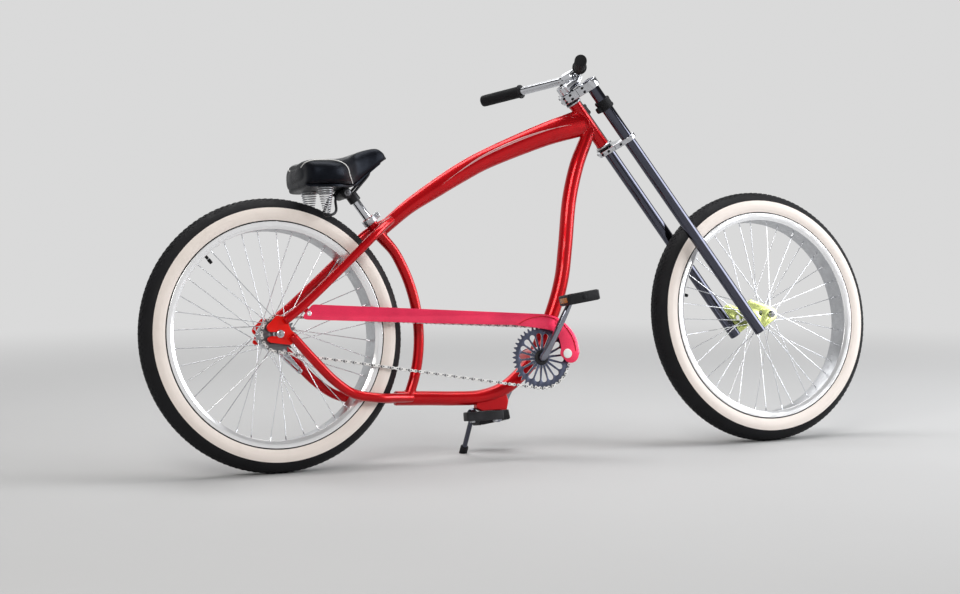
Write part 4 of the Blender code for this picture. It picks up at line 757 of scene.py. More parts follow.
topPath = smoothRun(bowed((headX - 0.004, headZ + 0.0095), onBow(39.8, -0.002), [
    (0.0000, 0.0000, 0.0358, 0.0158), (0.0613, -0.0077, 0.0352, 0.0200), (0.2059, -0.0232, 0.0310, 0.0220),
    (0.4524, -0.0377, 0.0266, 0.0223), (0.5837, -0.0378, 0.0258, 0.0225), (0.7193, -0.0315, 0.0233, 0.0209),
    (0.8452, -0.0231, 0.0195, 0.0194), (0.9516, -0.0084, 0.0178, 0.0167), (1.0000, 0.0000, 0.0166, 0.0120),
]), 14)
downPath = smoothRun(bowed((headX + 0.005, headZ - 0.0073), (crankX, crankZ), [
    (0.0000, 0.0000, 0.0160), (0.0649, -0.0045, 0.0180), (0.1808, -0.0129, 0.0195), (0.3309, -0.0094, 0.0195),
    (0.5144, 0.0106, 0.0195), (0.6535, 0.0228, 0.0195), (0.8005, 0.0198, 0.0195), (1.0000, 0.0000, 0.0195),
]), 14)
lowerPath = smoothRun(bowed((crankX, crankZ), onBow(-28.5, -0.0335), [
    (0.0000, 0.0000, 0.0190), (0.1245, 0.0310, 0.0190), (0.2675, 0.0548, 0.0190), (0.4298, 0.0585, 0.0190),
    (0.6071, 0.0430, 0.0190), (0.7765, 0.0241, 0.0190), (1.0000, 0.0000, 0.0190),
]), 14)
seatLean = radians(tubes["seatDegrees"])
seatDown = np.array((cos(seatLean), 0.0, -sin(seatLean)))
seatAhead = np.array((sin(seatLean), 0.0, cos(seatLean)))
stubTop = np.array((tubes["stubTop"][0], 0.0, tubes["stubTop"][1]))
seatPath = smoothRun([*[(*(stubTop + seatDown * 0.0564 * share), 0.0152) for share in (0.0, 0.57, 1.0)],
                      *[(x, 0.0, z, 0.0136)
                        for x, z in arc((0.0, tyreR), tubes["bowRadius"], 31.0, -25.5, 9)]], 12)
seatStayRun = bowed((0.0120, tyreR + 0.0300), onBow(40.3, 0.0417), [
    (0.0000, 0.0000, 0.0640, 0.0100), (0.0336, 0.0000, 0.0642, 0.0110), (0.2048, -0.0023, 0.0620, 0.0110),
    (0.5712, 0.0026, 0.0585, 0.0110), (0.7947, 0.0069, 0.0560, 0.0110), (0.9035, 0.0059, 0.0400, 0.0110),
    (1.0000, 0.0000, 0.0170, 0.0100),
])
chainStayRun = bowed((0.0280, tyreR - 0.0045), onBow(-25.8, 0.0054), [
    (0.0000, 0.0000, 0.0660, 0.0112), (0.2360, -0.0364, 0.0660, 0.0122), (0.4043, -0.0578, 0.0640, 0.0122),
    (0.5676, -0.0644, 0.0590, 0.0122), (0.7486, -0.0446, 0.0555, 0.0122), (0.8563, -0.0255, 0.0400, 0.0122),
    (1.0000, 0.0000, 0.0180, 0.0112),
])


def stayPath(run, side):
    return smoothRun([(x, side * out, z, radius) for x, _, z, out, radius in run], 12)


seatStays = {side: stayPath(seatStayRun, side) for side in (-1, 1)}
chainStays = {side: stayPath(chainStayRun, side) for side in (-1, 1)}
middlePlane = (0.0, 1.0, 0.0)


def tubePiece(name, node, path, finish, binormal=None, edge=0.0, sides=64):
    shape = newShape()
    addSweep(shape, path, bikePlace, sides, binormal, edge)
    addPiece(name, shape, "frame", [node], [finish])


tubePiece("topTube", "top_tube", topPath, stripedRed, middlePlane, sides=80)
tubePiece("downTube", "down_tube", downPath, candyRed, middlePlane)
tubePiece("lowerTube", "lower_tube", lowerPath, candyRed, middlePlane, edge=0.004)
for side in (-1, 1):
    for name, node, stays in (("seatStay", "seat_stay", seatStays), ("chainStay", "chain_stay", chainStays)):
        tubePiece(name + sideNames[side], node + nodeSides[side], stays[side], candyRed, edge=0.006, sides=40)

seatTube = newShape()
rings, runs = sweepRings(seatPath, 56, middlePlane)
addRings(seatTube, placed(rings, bikePlace), runs, capStart=False)
boreAt = bikePlace @ aim(stubTop + seatDown * 0.03, stubTop)
addLathe(seatTube, [(0.0152, 0.030), (0.0146, 0.0306), (0.0116, 0.0306), (0.0112, 0.030), (0.0112, 0.0)],
         56, boreAt, closed=False)
addPiece("seatTube", seatTube, "frame", ["seat_tube"], [candyRed])

headTube = newShape()
headR, headHalf = tubes["headRadius"], tubes["headLength"] / 2
addTurned(headTube, [(0.0177, headHalf), (0.0177, 0.0655), (headR, 0.060), (headR, -0.060), (0.0177, -0.0655),
                     (0.0177, -headHalf), (0.0141, -headHalf), (0.0141, headHalf)], 0.0008, 3, 64, headPlace)
addPiece("headTube", headTube, "frame", ["head_tube"], [candyRed])

shell = newShape()
shellAt = bikePlace @ shift(crankX, 0, crankZ) @ leftward
shellR, shellHalf = tubes["shellRadius"], tubes["shellWidth"] / 2
addTurned(shell, [(shellR, shellHalf), (shellR, -shellHalf), (0.0235, -shellHalf), (0.0235, shellHalf)],
          0.0008, 3, 64, shellAt)
addPiece("bottomBracketShell", shell, "frame", ["bottom_bracket_shell"], [candyRed])

# Weld beads follow the line where one tube runs into another


def tubeDistance(path, binormal):
    # signed distance outside a swept tube, near enough at its surface
    rows = path if path.shape[1] > 4 else np.column_stack([path, path[:, 3]])
    points, tangents, normals, sidesWays = sweepFrames(rows, binormal)

    def distance(p):
        offsets = p - points
        i = int(np.argmin((offsets**2).sum(1)))
        o = offsets[i] - tangents[i] * (offsets[i] @ tangents[i])
        a, b = (o @ normals[i]) / rows[i, 3], (o @ sidesWays[i]) / rows[i, 4]
        return (hypot(a, b) - 1.0) * min(rows[i, 3], rows[i, 4])
    return distance


def lineDistance(start, end, radius):
    a, b = np.array(start, float), np.array(end, float)
    way = (b - a) / np.linalg.norm(b - a)

    def distance(p):
        o = p - a
        return np.linalg.norm(o - way * (o @ way)) - radius
    return distance


def weldLine(path, binormal, outside, fromStart):
    # walks each line along a tube until it meets the other tube's surface
    rings, _ = sweepRings(path, 48, binormal)
    rings = rings if fromStart else rings[::-1]
    line = []
    for j in range(rings.shape[1]):
        values = [outside(p) for p in rings[:, j]]
        found = None
        for i in range(len(values) - 1):
            if values[i] < 0 <= values[i + 1]:
                share = -values[i] / (values[i + 1] - values[i] + 1e-12)
                found = rings[i, j] * (1 - share) + rings[i + 1, j] * share
                break
        if found is None:
            return None
        line.append(found)
    return np.array(line)


def addBead(shape, line, radius, step):
    # one bead along a closed line, rippled as the weld pool left it
    if line is None:
        return False
    closedLine = np.vstack([line, line[:1]])
    lengths = lengthsAlong(closedLine)
    count = max(24, int(lengths[-1] / (step / 3)))
    spots = np.linspace(0, lengths[-1], count, endpoint=False)
    points = np.stack([np.interp(spots, lengths, closedLine[:, k]) for k in range(3)], axis=1)
    for _ in range(3):
        points = (np.roll(points, 1, 0) + 2 * points + np.roll(points, -1, 0)) / 4
    ripple = radius * (1 + 0.10 * np.cos(np.arange(count) * 2 * pi / 3))
    tangents = np.roll(points, -1, 0) - np.roll(points, 1, 0)
    tangents /= np.linalg.norm(tangents, axis=1)[:, None]
    outward = points - points.mean(0)
    outward -= tangents * (outward * tangents).sum(1)[:, None]
    outward /= np.linalg.norm(outward, axis=1)[:, None]
    side = np.cross(tangents, outward)
    turns = np.arange(10) * 2 * pi / 10
    rings = (points[:, None] + outward[:, None] * (np.cos(turns)[None, :, None] * ripple[:, None, None])
             + side[:, None] * (np.sin(turns)[None, :, None] * ripple[:, None, None]))
    addRings(shape, placed(rings, bikePlace), spots, along=True)
    return True


beads = newShape()
headLean = radians(stance["headDegrees"])
headUp = np.array((-cos(headLean), 0.0, sin(headLean)))
headMiddle = np.array((headX, 0.0, headZ))
headLine = lineDistance(headMiddle - headUp, headMiddle + headUp, headR)
shellLine = lineDistance((crankX, -1, crankZ), (crankX, 1, crankZ), shellR)
seatLine = tubeDistance(seatPath, middlePlane)
lowerLine = tubeDistance(lowerPath, middlePlane)
topLine = tubeDistance(topPath, middlePlane)


def either(one, other):
    return lambda p: min(one(p), other(p))


joins = [
    (topPath, middlePlane, headLine, True), (topPath, middlePlane, seatLine, False),
    (downPath, middlePlane, either(headLine, topLine), True), (downPath, middlePlane, shellLine, False),
    (lowerPath, middlePlane, shellLine, True), (seatPath, middlePlane, lowerLine, False),
]
for side in (-1, 1):
    joins.append((seatStays[side], None, either(topLine, seatLine), False))
    joins.append((chainStays[side], None, either(lowerLine, seatLine), False))
made = [addBead(beads, weldLine(path, binormal, line, fromStart), tubes["beadRadius"], tubes["beadStep"])
        for path, binormal, line, fromStart in joins]
addPiece("weldBeads", beads, "frame", [], [candyRed], 80)
print("frame tubes made,", sum(made), "of", len(made), "weld beads")

# Dropouts, with the rounded lobes that the wheel is drawn up in

dropouts = {"thickness": 0.006, "beside": 0.058, "edge": 0.0009}
dropoutOutline = [
    (-0.0070, 0.0470), (-0.0200, 0.0330), (-0.0300, 0.0250), (-0.0340, 0.0170), (-0.0310, 0.0085),
    (-0.0240, 0.0051), *[(x, z, 0) for x, z in arc((0, 0), 0.0051, 90, -90, 15)],
    (-0.0240, -0.0051), (-0.0330, -0.0080), (-0.0340, -0.0150), (-0.0270, -0.0210), (0.0265, -0.0290),
    (0.0400, -0.0200), (0.0440, -0.0040), (0.0300, 0.0080), (0.0240, 0.0220), (0.0225, 0.0400),
]
for side in (-1, 1):
    shape = newShape()
    at = bikePlace @ shift(0, side * dropouts["beside"], tyreR) @ sideOn
    addPlate(shape, [rounded(dropoutOutline, 0.007, 4)], dropouts["thickness"], at, dropouts["edge"], 2)
    if side > 0:
        # three round lobes stand out from the plate behind the axle on the left
        for x, z in ((-0.017, 0.0205), (0.000, 0.0395), (-0.020, -0.0035)):
            low = Vector((x, side * 0.0608, tyreR + z))
            addRod(shape, low, low + Vector((0, side * 0.0014, 0)), 0.0078, bikePlace, sides=36)
    addSided("dropout", "dropout", side, shape, "frame", [dropoutRed])


# Wheels. Local Z is the axle, to the left.

wheels = {
    "spokes": 36,
    "crossings": 3,
    "spokeRadius": 0.00115,
    "rimHoleRadius": 0.2670,
    "rimHoleOffset": 0.006,
    "headStep": 0.0021,
    "rearFlange": (0.034, 0.031),
    "frontFlange": (0.024, 0.032),
    "wallInner": 0.2885,
    "wallOuter": 0.3205,
    "treadSectors": 132,
    "rearValveAt": (-0.159, 0.546),
    "frontValveAt": (1.194, 0.413),
    "threadPitch": 0.00125,
}


def lacingInputs(flange, shapes):
    return {"Spokes": wheels["spokes"], "Crossings": wheels["crossings"],
            "Flange hole radius": flange[0] - 0.006, "Flange offset": flange[1],
            "Head step": wheels["headStep"], "Spoke radius": wheels["spokeRadius"],
            "Rim hole radius": wheels["rimHoleRadius"], "Rim hole offset": wheels["rimHoleOffset"],
            "Head": shapes[0], "Nipple": shapes[1], "Finish": spokeSteel}


def lacingTree():
    # spokes with their heads and nipples, laid out by the wheel's own rule
    head, nipple = newShape(), newShape()
    addLathe(head, [(0, -0.0009), (0.0016, -0.0007), (0.0017, 0.0002), (0.0010, 0.0010), (0, 0.0010)], 8,
             closed=False)
    addLathe(nipple, [(0, -0.0115), (0.0012, -0.0115), (0.0017, -0.0110), (0.0017, -0.0010), (0.0026, 0.0004),
                      (0.0026, 0.0014), (0, 0.0014)], 8, closed=False)
    shapes = helperObject("spokeHead", head), helperObject("spokeNipple", nipple)
    tree = newTree("lacedSpokes", lacingInputs(wheels["rearFlange"], shapes))
    index = addNode(tree, "GeometryNodeInputIndex").outputs[0]
    spokes = inputOf(tree, "Spokes")
    side = maths(tree, "MODULO", index, 2.0)
    place = maths(tree, "FLOOR", maths(tree, "DIVIDE", index, 2.0))
    sign = maths(tree, "SUBTRACT", 1.0, times(tree, side, 2.0))
    trailing = maths(tree, "SUBTRACT", times(tree, maths(tree, "MODULO", place, 2.0), 2.0), 1.0)
    step = maths(tree, "DIVIDE", 4 * pi, spokes)
    first = maths(tree, "ADD", maths(tree, "DIVIDE", pi, spokes), times(tree, side, times(tree, step, 0.5)))
    atHub = maths(tree, "ADD", times(tree, place, step), first)
    atRim = maths(tree, "ADD", atHub, times(tree, inputOf(tree, "Crossings"), times(tree, step, trailing)))

    def onCircle(radius, angle, height):
        return rowOf(tree, times(tree, radius, maths(tree, "COSINE", angle)),
                     times(tree, radius, maths(tree, "SINE", angle)), times(tree, sign, height))

    hubHeight = maths(tree, "ADD", inputOf(tree, "Flange offset"),
                      times(tree, trailing, inputOf(tree, "Head step")))
    start = onCircle(inputOf(tree, "Flange hole radius"), atHub, hubHeight)
    end = onCircle(inputOf(tree, "Rim hole radius"), atRim, inputOf(tree, "Rim hole offset"))
    way = addNode(tree, "ShaderNodeVectorMath", {0: end, 1: start}, operation="SUBTRACT").outputs[0]
    length = addNode(tree, "ShaderNodeVectorMath", {0: way}, operation="LENGTH").outputs["Value"]
    facing = addNode(tree, "FunctionNodeAlignRotationToVector", {"Vector": way}, axis="Z").outputs[0]
    points = addNode(tree, "GeometryNodePoints", {"Count": spokes}).outputs[0]
    atStart = addNode(tree, "GeometryNodeSetPosition", {"Geometry": points, "Position": start}).outputs[0]
    atEnd = addNode(tree, "GeometryNodeSetPosition", {"Geometry": points, "Position": end}).outputs[0]
    wire = addNode(tree, "GeometryNodeMeshCylinder", {"Vertices": 8, "Radius": inputOf(tree, "Spoke radius"),
                                                      "Depth": 1.0}, fill_type="NGON").outputs[0]
    wire = addNode(tree, "GeometryNodeTransform", {"Geometry": wire, "Translation": (0, 0, 0.5)}).outputs[0]
    # each head is turned over where its spoke runs through the flange the other way
    headWay = times(tree, sign, times(tree, trailing, -1.0))
    wires = setOn(tree, atStart, wire, facing, rowOf(tree, 1.0, 1.0, length))
    heads = setOn(tree, atStart, shapeOf(tree, "Head"), scale=rowOf(tree, 1.0, 1.0, headWay))
    nipples = setOn(tree, atEnd, shapeOf(tree, "Nipple"), facing)
    joined = tree.nodes.new("GeometryNodeJoinGeometry")
    for made in (wires, heads, nipples):
        tree.links.new(made, joined.inputs[0])
    endTree(tree, joined.outputs[0], inputOf(tree, "Finish"))
    return tree, shapes


def treadTree():
    # one sector of tread blocks, repeated round the carcass
    block = newShape()
    levels = ((0.0030, 0.0034, -0.0012), (0.0029, 0.0033, 0.0003), (0.0024, 0.0028, 0.0008))
    addRings(block, [[(*corner, z) for corner in rectangle(x, y)] for x, y, z in levels], [0, 0.001, 0.002])
    helper = helperObject("treadBlock", block)
    tree = newTree("treadBlocks", {"Sectors": wheels["treadSectors"], "Block": helper, "Finish": tyreBlack})
    sector = setOn(tree, inputOf(tree, "Points"), shapeOf(tree, "Block"), facingOf(tree))
    sector = addNode(tree, "GeometryNodeRealizeInstances", {0: sector}).outputs[0]
    count = inputOf(tree, "Sectors")
    ring = addNode(tree, "GeometryNodePoints", {"Count": count}).outputs[0]
    index = addNode(tree, "GeometryNodeInputIndex").outputs[0]
    angle = times(tree, index, maths(tree, "DIVIDE", 2 * pi, count))
    endTree(tree, setOn(tree, ring, sector, rowOf(tree, 0.0, 0.0, angle)), inputOf(tree, "Finish"))
    return tree, helper


lacing, lacingShapes = lacingTree()
tread, treadShape = treadTree()

tyreHalf = [(0.2858, 0.0332), (0.2925, 0.0361), (0.3000, 0.0377), (0.3085, 0.0380), (0.3205, 0.0356),
            (0.3300, 0.0304), (0.3378, 0.0229), (0.3432, 0.0137), (0.3460, 0.0055), (0.3465, 0.0)]
tyreSide = smoothRun(tyreHalf, 5)


def tyreShape(place):
    # carcass profile, with the cream band let into each sidewall between two fine ribs
    half = []
    for radius, width in tyreSide:
        if wheels["wallInner"] < radius < wheels["wallOuter"]:
            for edge in (wheels["wallInner"], wheels["wallOuter"]):
                if abs(radius - edge) < 0.0016:
                    width += 0.0004
        half.append((radius, width))
    profile = [(0.2753, 0.0317), *half, *[(r, -w) for r, w in reversed(half[:-1])], (0.2753, -0.0317)]
    middles = [(profile[i][0] + profile[(i + 1) % len(profile)][0]) / 2 for i in range(len(profile))]
    cream = [1 if wheels["wallInner"] < m < wheels["wallOuter"] and 0 < i < len(profile) - 2 else 0
             for i, m in enumerate(middles)]
    shape = newShape()
    addLathe(shape, profile, 180, place, finish=cream)
    return shape


def treadPoints():
    # rows of blocks across the crown, each other row set half a sector round
    points, facings = [], []
    sector = 2 * pi / wheels["treadSectors"]
    rows = ((0.3462, 0.0045), (0.3443, 0.0115), (0.3400, 0.0190), (0.3335, 0.0262))
    for row, (radius, width) in enumerate(rows):
        for side in (-1, 1):
            angle = sector * 0.5 * (row % 2)
            tilt = atan2(width, radius - 0.3095)
            points.append((radius * cos(angle), radius * sin(angle), side * width))
            facing = (Matrix.Rotation(angle, 3, "Z") @ Matrix.Rotation(pi / 2 - side * tilt, 3, "Y")
                      @ Matrix.Rotation(side * 0.35, 3, "Z"))
            facings.append(tuple(facing.to_euler()))
    return points, facings


rearHubProfile = [(0.0200, 0.0467), (0.0212, 0.0405), (0.0225, 0.0340), (0.034, 0.0336), (0.034, 0.0284),
                  (0.0225, 0.0268), (0.0185, 0.0230), (0.0178, 0.0), (0.0185, -0.0230), (0.0225, -0.0268),
                  (0.034, -0.0284), (0.034, -0.0336), (0.0175, -0.0360), (0.0165, -0.0372), (0.0165, -0.0547),
                  (0.0055, -0.0547), (0.0055, 0.0467)]
frontHubProfile = [(0.0110, 0.0537), (0.0118, 0.0480), (0.0150, 0.0350), (0.024, 0.0346), (0.024, 0.0294),
                   (0.0150, 0.0283), (0.0132, 0.0250), (0.0128, 0.0), (0.0132, -0.0250), (0.0150, -0.0283),
                   (0.024, -0.0294), (0.024, -0.0346), (0.0150, -0.0350), (0.0118, -0.0480),
                   (0.0110, -0.0537), (0.0052, -0.0537), (0.0052, 0.0537)]
rimProfile = [(0.2750, 0.0320), (0.2750, -0.0320), (0.2850, -0.0335), (0.2855, -0.0352), (0.2846, -0.0360),
              (0.2750, -0.0352), (0.2662, -0.0315), (0.2662, 0.0315), (0.2750, 0.0352), (0.2846, 0.0360),
              (0.2855, 0.0352), (0.2850, 0.0335)]


def makeWheel(end, axlePlace, hubProfile, flange, valveAt):
    body = end.lower() + "_wheel"
    at = axlePlace @ leftward
    addPiece(end + "Tyre", tyreShape(at), body, [end.lower() + "_tyre"], [tyreBlack, whitewall], 60)
    blocks = grown(tread, {"Sectors": wheels["treadSectors"], "Block": treadShape, "Finish": tyreBlack}, at,
                   *treadPoints())
    addPiece(end + "Tread", blocks, body, [], [tyreBlack])
    shape = newShape()
    line = rounded(rimProfile, 0.0014, 3)
    bed = [1 if max(line[i][0], line[(i + 1) % len(line)][0]) < 0.2665 else 0 for i in range(len(line))]
    addLathe(shape, line, 180, at, finish=bed)
    addPiece(end + "Rim", shape, body, [end.lower() + "_rim"], [alloy, steel], 40)
    shape = newShape()
    addTurned(shape, hubProfile, 0.0011, 3, 72, at)
    addPiece(end + "Hub", shape, body, [end.lower() + "_hub"], [steel])
    spokes = grown(lacing, lacingInputs(flange, lacingShapes), at)
    addPiece(end + "Spokes", spokes, body, [], [spokeSteel], 50)
    # valve: rubber stem, a bright neck and a black cap, pointing at the axle
    local = at.inverted() @ bikePlace @ Vector((valveAt[0], 0, valveAt[1]))
    inward = at @ Matrix.Rotation(atan2(local.y, local.x), 4, "Z") @ turn(-90, "Y") @ shift(0, 0, -0.2675)
    valve = newShape()
    addSolid(valve, [(0, 0), (0.0062, 0.0), (0.0046, 0.0030), (0.0040, 0.0050), (0.0038, 0.0138),
                     (0.0028, 0.0145), (0, 0.0145)], 0.0004, 2, 24, inward)
    addLathe(valve, [(0, 0.0138), (0.0027, 0.0138), (0.0029, 0.0152), (0.0027, 0.0166), (0, 0.0166)], 24,
             inward, False, 1)
    addSolid(valve, [(0, 0.0160), (0.0046, 0.0160), (0.0043, 0.0286), (0, 0.0294)], 0.0009, 3, 24, inward)
    addPiece(end + "Valve", valve, body, [], [gripBlack, steel])


makeWheel("Rear", rearAxlePlace, rearHubProfile, wheels["rearFlange"], wheels["rearValveAt"])
makeWheel("Front", frontAxlePlace, frontHubProfile, wheels["frontFlange"], wheels["frontValveAt"])


def threadProfile(radius, low, high):
    # rings that stand for a fine thread: crest and root of each turn
    pitch, root = wheels["threadPitch"], radius - 0.0004
    rows = []
    height = low
    while height < high - pitch:
        rows += [(radius, height + pitch * 0.15), (radius, height + pitch * 0.35),
                 (root, height + pitch * 0.6), (root, height + pitch * 0.8)]
        height += pitch
    return rows


def makeAxle(name, node, body, at, radius, seat):
    # threaded axle, its hexagon nuts and the washers under them
    shape = newShape()
    reach = seat + 0.018
    profile = [(0, -reach), (radius - 0.0008, -reach), *threadProfile(radius, -reach + 0.0008, -seat + 0.002),
               (radius, -seat + 0.004), (radius, seat - 0.004),
               *threadProfile(radius, seat - 0.002, reach - 0.0008), (radius - 0.0008, reach), (0, reach)]
    addLathe(shape, profile, 28, at @ leftward, closed=False, finish=1)
    bore = radius + 0.0003
    for side in (-1, 1):
        out = at @ outTo[side] @ shift(0, 0, seat)
        addTurned(shape, [(bore, 0.0), (0.0102, 0.0), (0.0102, 0.0014), (bore, 0.0014)], 0.0004, 2, 40, out)
        addNut(shape, out @ shift(0, 0, 0.0012) @ turn(11, "Z"), 0.0095, 0.0078, radius + 0.0002)
    addPiece(name, shape, body, [node], [chrome, steel])


makeAxle("RearAxle", "rear_axle", "frame", rearAxlePlace, 0.0048, 0.0613)
makeAxle("FrontAxle", "front_axle", "steering", frontAxlePlace, 0.0045, 0.0603)
print("wheels laced and shod")


# Crank, chainring, chain, rear sprocket and pedals

drive = {
    "line": -0.045,
    "pitch": 0.0127,
    "ringTeeth": 40,
    "sprocketTeeth": 22,
    "toothHeight": 0.0042,
    "rollerRadius": 0.0032,
    "halfHeight": 0.0042,
    "slots": 18,
    "slotPoint": 0.021,
    "slotCentre": 0.0575,
    "slotRadius": 0.0074,
    "plateWidth": 0.0022,
    "crankLength": 0.165,
}


def pitchRadius(teeth):
    return drive["pitch"] / (2 * sin(pi / teeth))


ringPitch, sprocketPitch = pitchRadius(drive["ringTeeth"]), pitchRadius(drive["sprocketTeeth"])
runX, runZ = crankX, crankZ - tyreR
runAngle = atan2(runZ, runX)
wrapAngle = asin((ringPitch - sprocketPitch) / hypot(runX, runZ))
ringWrap = pi + 2 * wrapAngle


def wrappedRollers(centre, teeth, middle, wrap):
    step = 2 * pi / teeth
    links = floor(wrap / step)
    radius = pitchRadius(teeth)
    return [(centre[0] + radius * cos(middle + step * (links / 2 - k)),
             centre[1] + radius * sin(middle + step * (links / 2 - k))) for k in range(links + 1)]


def straightRollers(start, end):
    links = round(hypot(end[0] - start[0], end[1] - start[1]) / drive["pitch"])
    return [(start[0] + (end[0] - start[0]) * i / links, start[1] + (end[1] - start[1]) * i / links)
            for i in range(1, links)]


def firstTooth(middle, teeth, wrap):
    step = 2 * pi / teeth
    return middle + step * (floor(wrap / step) / 2 - 0.5)


ringRollers = wrappedRollers((crankX, crankZ), drive["ringTeeth"], runAngle, ringWrap)
rearRollers = wrappedRollers((0.0, tyreR), drive["sprocketTeeth"], runAngle + pi, 2 * pi - ringWrap)
rollers = (ringRollers + straightRollers(ringRollers[-1], rearRollers[0]) + rearRollers
           + straightRollers(rearRollers[-1], ringRollers[0]))


def linkShape(offset, thickness, high, pins=()):
    # two side plates waisted between their round ends, with pins or rollers (radius, half length) at each end
    shape = newShape()
    half = drive["pitch"] / 2
    outline = [*arc((half, 0), high, -100, 100, 7), (0, high * 0.55), *arc((-half, 0), high, 80, 280, 7),
               (0, -high * 0.55)]
    for side in (-1, 1):
        rows = [[(x, side * (offset + out * thickness), z) for x, z in outline] for out in (-0.5, 0.5)]
        addRings(shape, rows, [0.0, thickness])
    for end in (-1, 1):
        for radius, reach in pins:
            spots = circle(radius, 8, (end * half, 0))
            addRings(shape, [[(x, y, z) for x, z in spots] for y in (-reach, reach)], [0.0, 2 * reach])
    return shape


def chainTree():
    outer = helperObject("outerLink", linkShape(0.0029, 0.0009, drive["halfHeight"] - 0.0002))
    inner = helperObject("innerLink", linkShape(0.0019, 0.0008, drive["halfHeight"] - 0.0005,
                                                ((drive["rollerRadius"], 0.0014), (0.0021, 0.0038))))
    tree = newTree("linkedChain", {"Link": outer, "Finish": chainPlate})
    links = setOn(tree, inputOf(tree, "Points"), shapeOf(tree, "Link"), facingOf(tree))
    endTree(tree, links, inputOf(tree, "Finish"))
    return tree, (outer, inner)


chainLinks, linkShapes = chainTree()
# the inner links take the dark steel finish, darker than the outer plates, as painted shade between the
# plates
for name, odd, finish, nodes in (("outerLinks", 0, chainPlate, ["chain"]), ("innerLinks", 1, darkSteel, [])):
    linkSpots, linkFacings = [], []
    for i in range(odd, len(rollers), 2):
        here, ahead = rollers[i], rollers[(i + 1) % len(rollers)]
        linkSpots.append(((here[0] + ahead[0]) / 2, drive["line"], (here[1] + ahead[1]) / 2))
        linkFacings.append((0.0, -atan2(ahead[1] - here[1], ahead[0] - here[0]), 0.0))
    chainMesh = grown(chainLinks, {"Link": linkShapes[odd], "Finish": finish}, bikePlace, linkSpots,
                      linkFacings)
    addPiece(name, chainMesh, "frame", nodes, [finish], 40)
print("chain of", len(rollers), "links")


def toothedOutline(teeth, first):
    # rounded teeth with the hollow that each roller sits in
    pitch = pitchRadius(teeth)
    root = pitch - drive["halfHeight"] - 0.0007
    tip = pitch + drive["toothHeight"] - 0.0004
    step = 2 * pi / teeth
    rows = []
    for i in range(teeth):
        middle = first + step * i
        for radius, offset in ((root, -0.36), (pitch - 0.0015, -0.235), (pitch + 0.0012, -0.17), (tip, -0.05),
                               (tip, 0.05), (pitch + 0.0012, 0.17), (pitch - 0.0015, 0.235), (root, 0.36)):
            angle = middle + offset * step
            rows.append((radius * cos(angle), radius * sin(angle)))
    return rows


def teardrop(angle):
    # slot that comes to a point at the ring's boss and ends round under the teeth
    point, centre, radius = drive["slotPoint"], drive["slotCentre"], drive["slotRadius"]
    spread = degrees(pi / 2 + asin(radius / (centre - point)))
    rows = [(point, 0.0), *arc((centre, 0.0), radius, -spread, spread, 15)]
    return [(u * cos(angle) - v * sin(angle), u * sin(angle) + v * cos(angle)) for u, v in rows]


ringTooth = firstTooth(runAngle, drive["ringTeeth"], ringWrap) - radians(stance["crankDegrees"])
ringShape = newShape()
ringAt = crankPlace @ shift(0, drive["line"], 0) @ sideOn
# the ring's cut edges take the near-white chain finish as a painted highlight
addPlate(ringShape, [toothedOutline(drive["ringTeeth"], ringTooth),
                     *[teardrop(2 * pi * (i + 0.5) / drive["slots"]) for i in range(drive["slots"])],
                     circle(0.0112, 40)], drive["plateWidth"], ringAt, 0.0005, 1, edgeFinish=2)
addTurned(ringShape, [(0.0112, 0.0440), (0.0205, 0.0440), (0.0195, 0.0478), (0.0150, 0.0500),
                      (0.0112, 0.0500)], 0.0006, 3, 56, crankPlace @ rightward, 1)
addPiece("slottedRing", ringShape, "crankset", ["chainring"],
         [ringSteel, blackMetal, chainPlate], 30)

sprocketShape = newShape()
rearTooth = firstTooth(runAngle + pi, drive["sprocketTeeth"], 2 * pi - ringWrap)
addPlate(sprocketShape, [toothedOutline(drive["sprocketTeeth"], rearTooth), circle(0.0175, 40)],
         drive["plateWidth"], rearAxlePlace @ shift(0, drive["line"], 0) @ sideOn, 0.0004, 1, edgeFinish=1)
addPiece("rearSprocket", sprocketShape, "driver", ["rear_sprocket"], [darkSteel, steel], 30)

crankShape = newShape()
crankArm = [(0.0, 0.039, 0.0105), (0.0, 0.0525, 0.0105), (0.006, 0.060, 0.0105), (0.018, 0.0665, 0.0097),
            (0.060, 0.0785, 0.0089), (0.120, 0.0910, 0.0085), (drive["crankLength"], 0.100, 0.0065)]
crankRun = ([(along, -out, 0.0, radius) for along, out, radius in reversed(crankArm)]
            + [(-along, out, 0.0, radius) for along, out, radius in crankArm])
addSweep(crankShape, smoothRun(crankRun, 10), crankPlace, 40, (0.0, 0.0, 1.0))
for side in (-1, 1):
    boss = crankPlace @ shift(-side * drive["crankLength"], side * 0.0925, 0) @ outTo[side]
    addSolid(crankShape, [(0, 0), (0.0128, 0), (0.0145, 0.0018), (0.0145, 0.0132), (0.0128, 0.015),
                          (0, 0.015)], 0.0012, 3, 48, boss)
# lock ring that holds the bearings on the left, and the ring's drive pin on the right
addNut(crankShape, crankPlace @ shift(0, 0.0426, 0) @ leftward, 0.0185, 0.0050, 0.0108)
addRod(crankShape, (0.0240, -0.0440, 0.0), (0.0240, -0.0590, 0.0), 0.0045, crankPlace, sides=24)
addPiece("crankArms", crankShape, "crankset", ["crank"], [crankChrome], 40)

for side in (-1, 1):
    cup = newShape()
    out = bikePlace @ shift(crankX, 0, crankZ) @ outTo[side] @ shift(0, 0, 0.0353)
    addTurned(cup, [(0.0110, 0.0), (0.0285, 0.0), (0.0285, 0.0024), (0.0262, 0.0048), (0.0180, 0.0068),
                    (0.0110, 0.0068)], 0.0008, 3, 56, out)
    addSided("crankCup", "crank_cup", side, cup, "frame", [chrome])

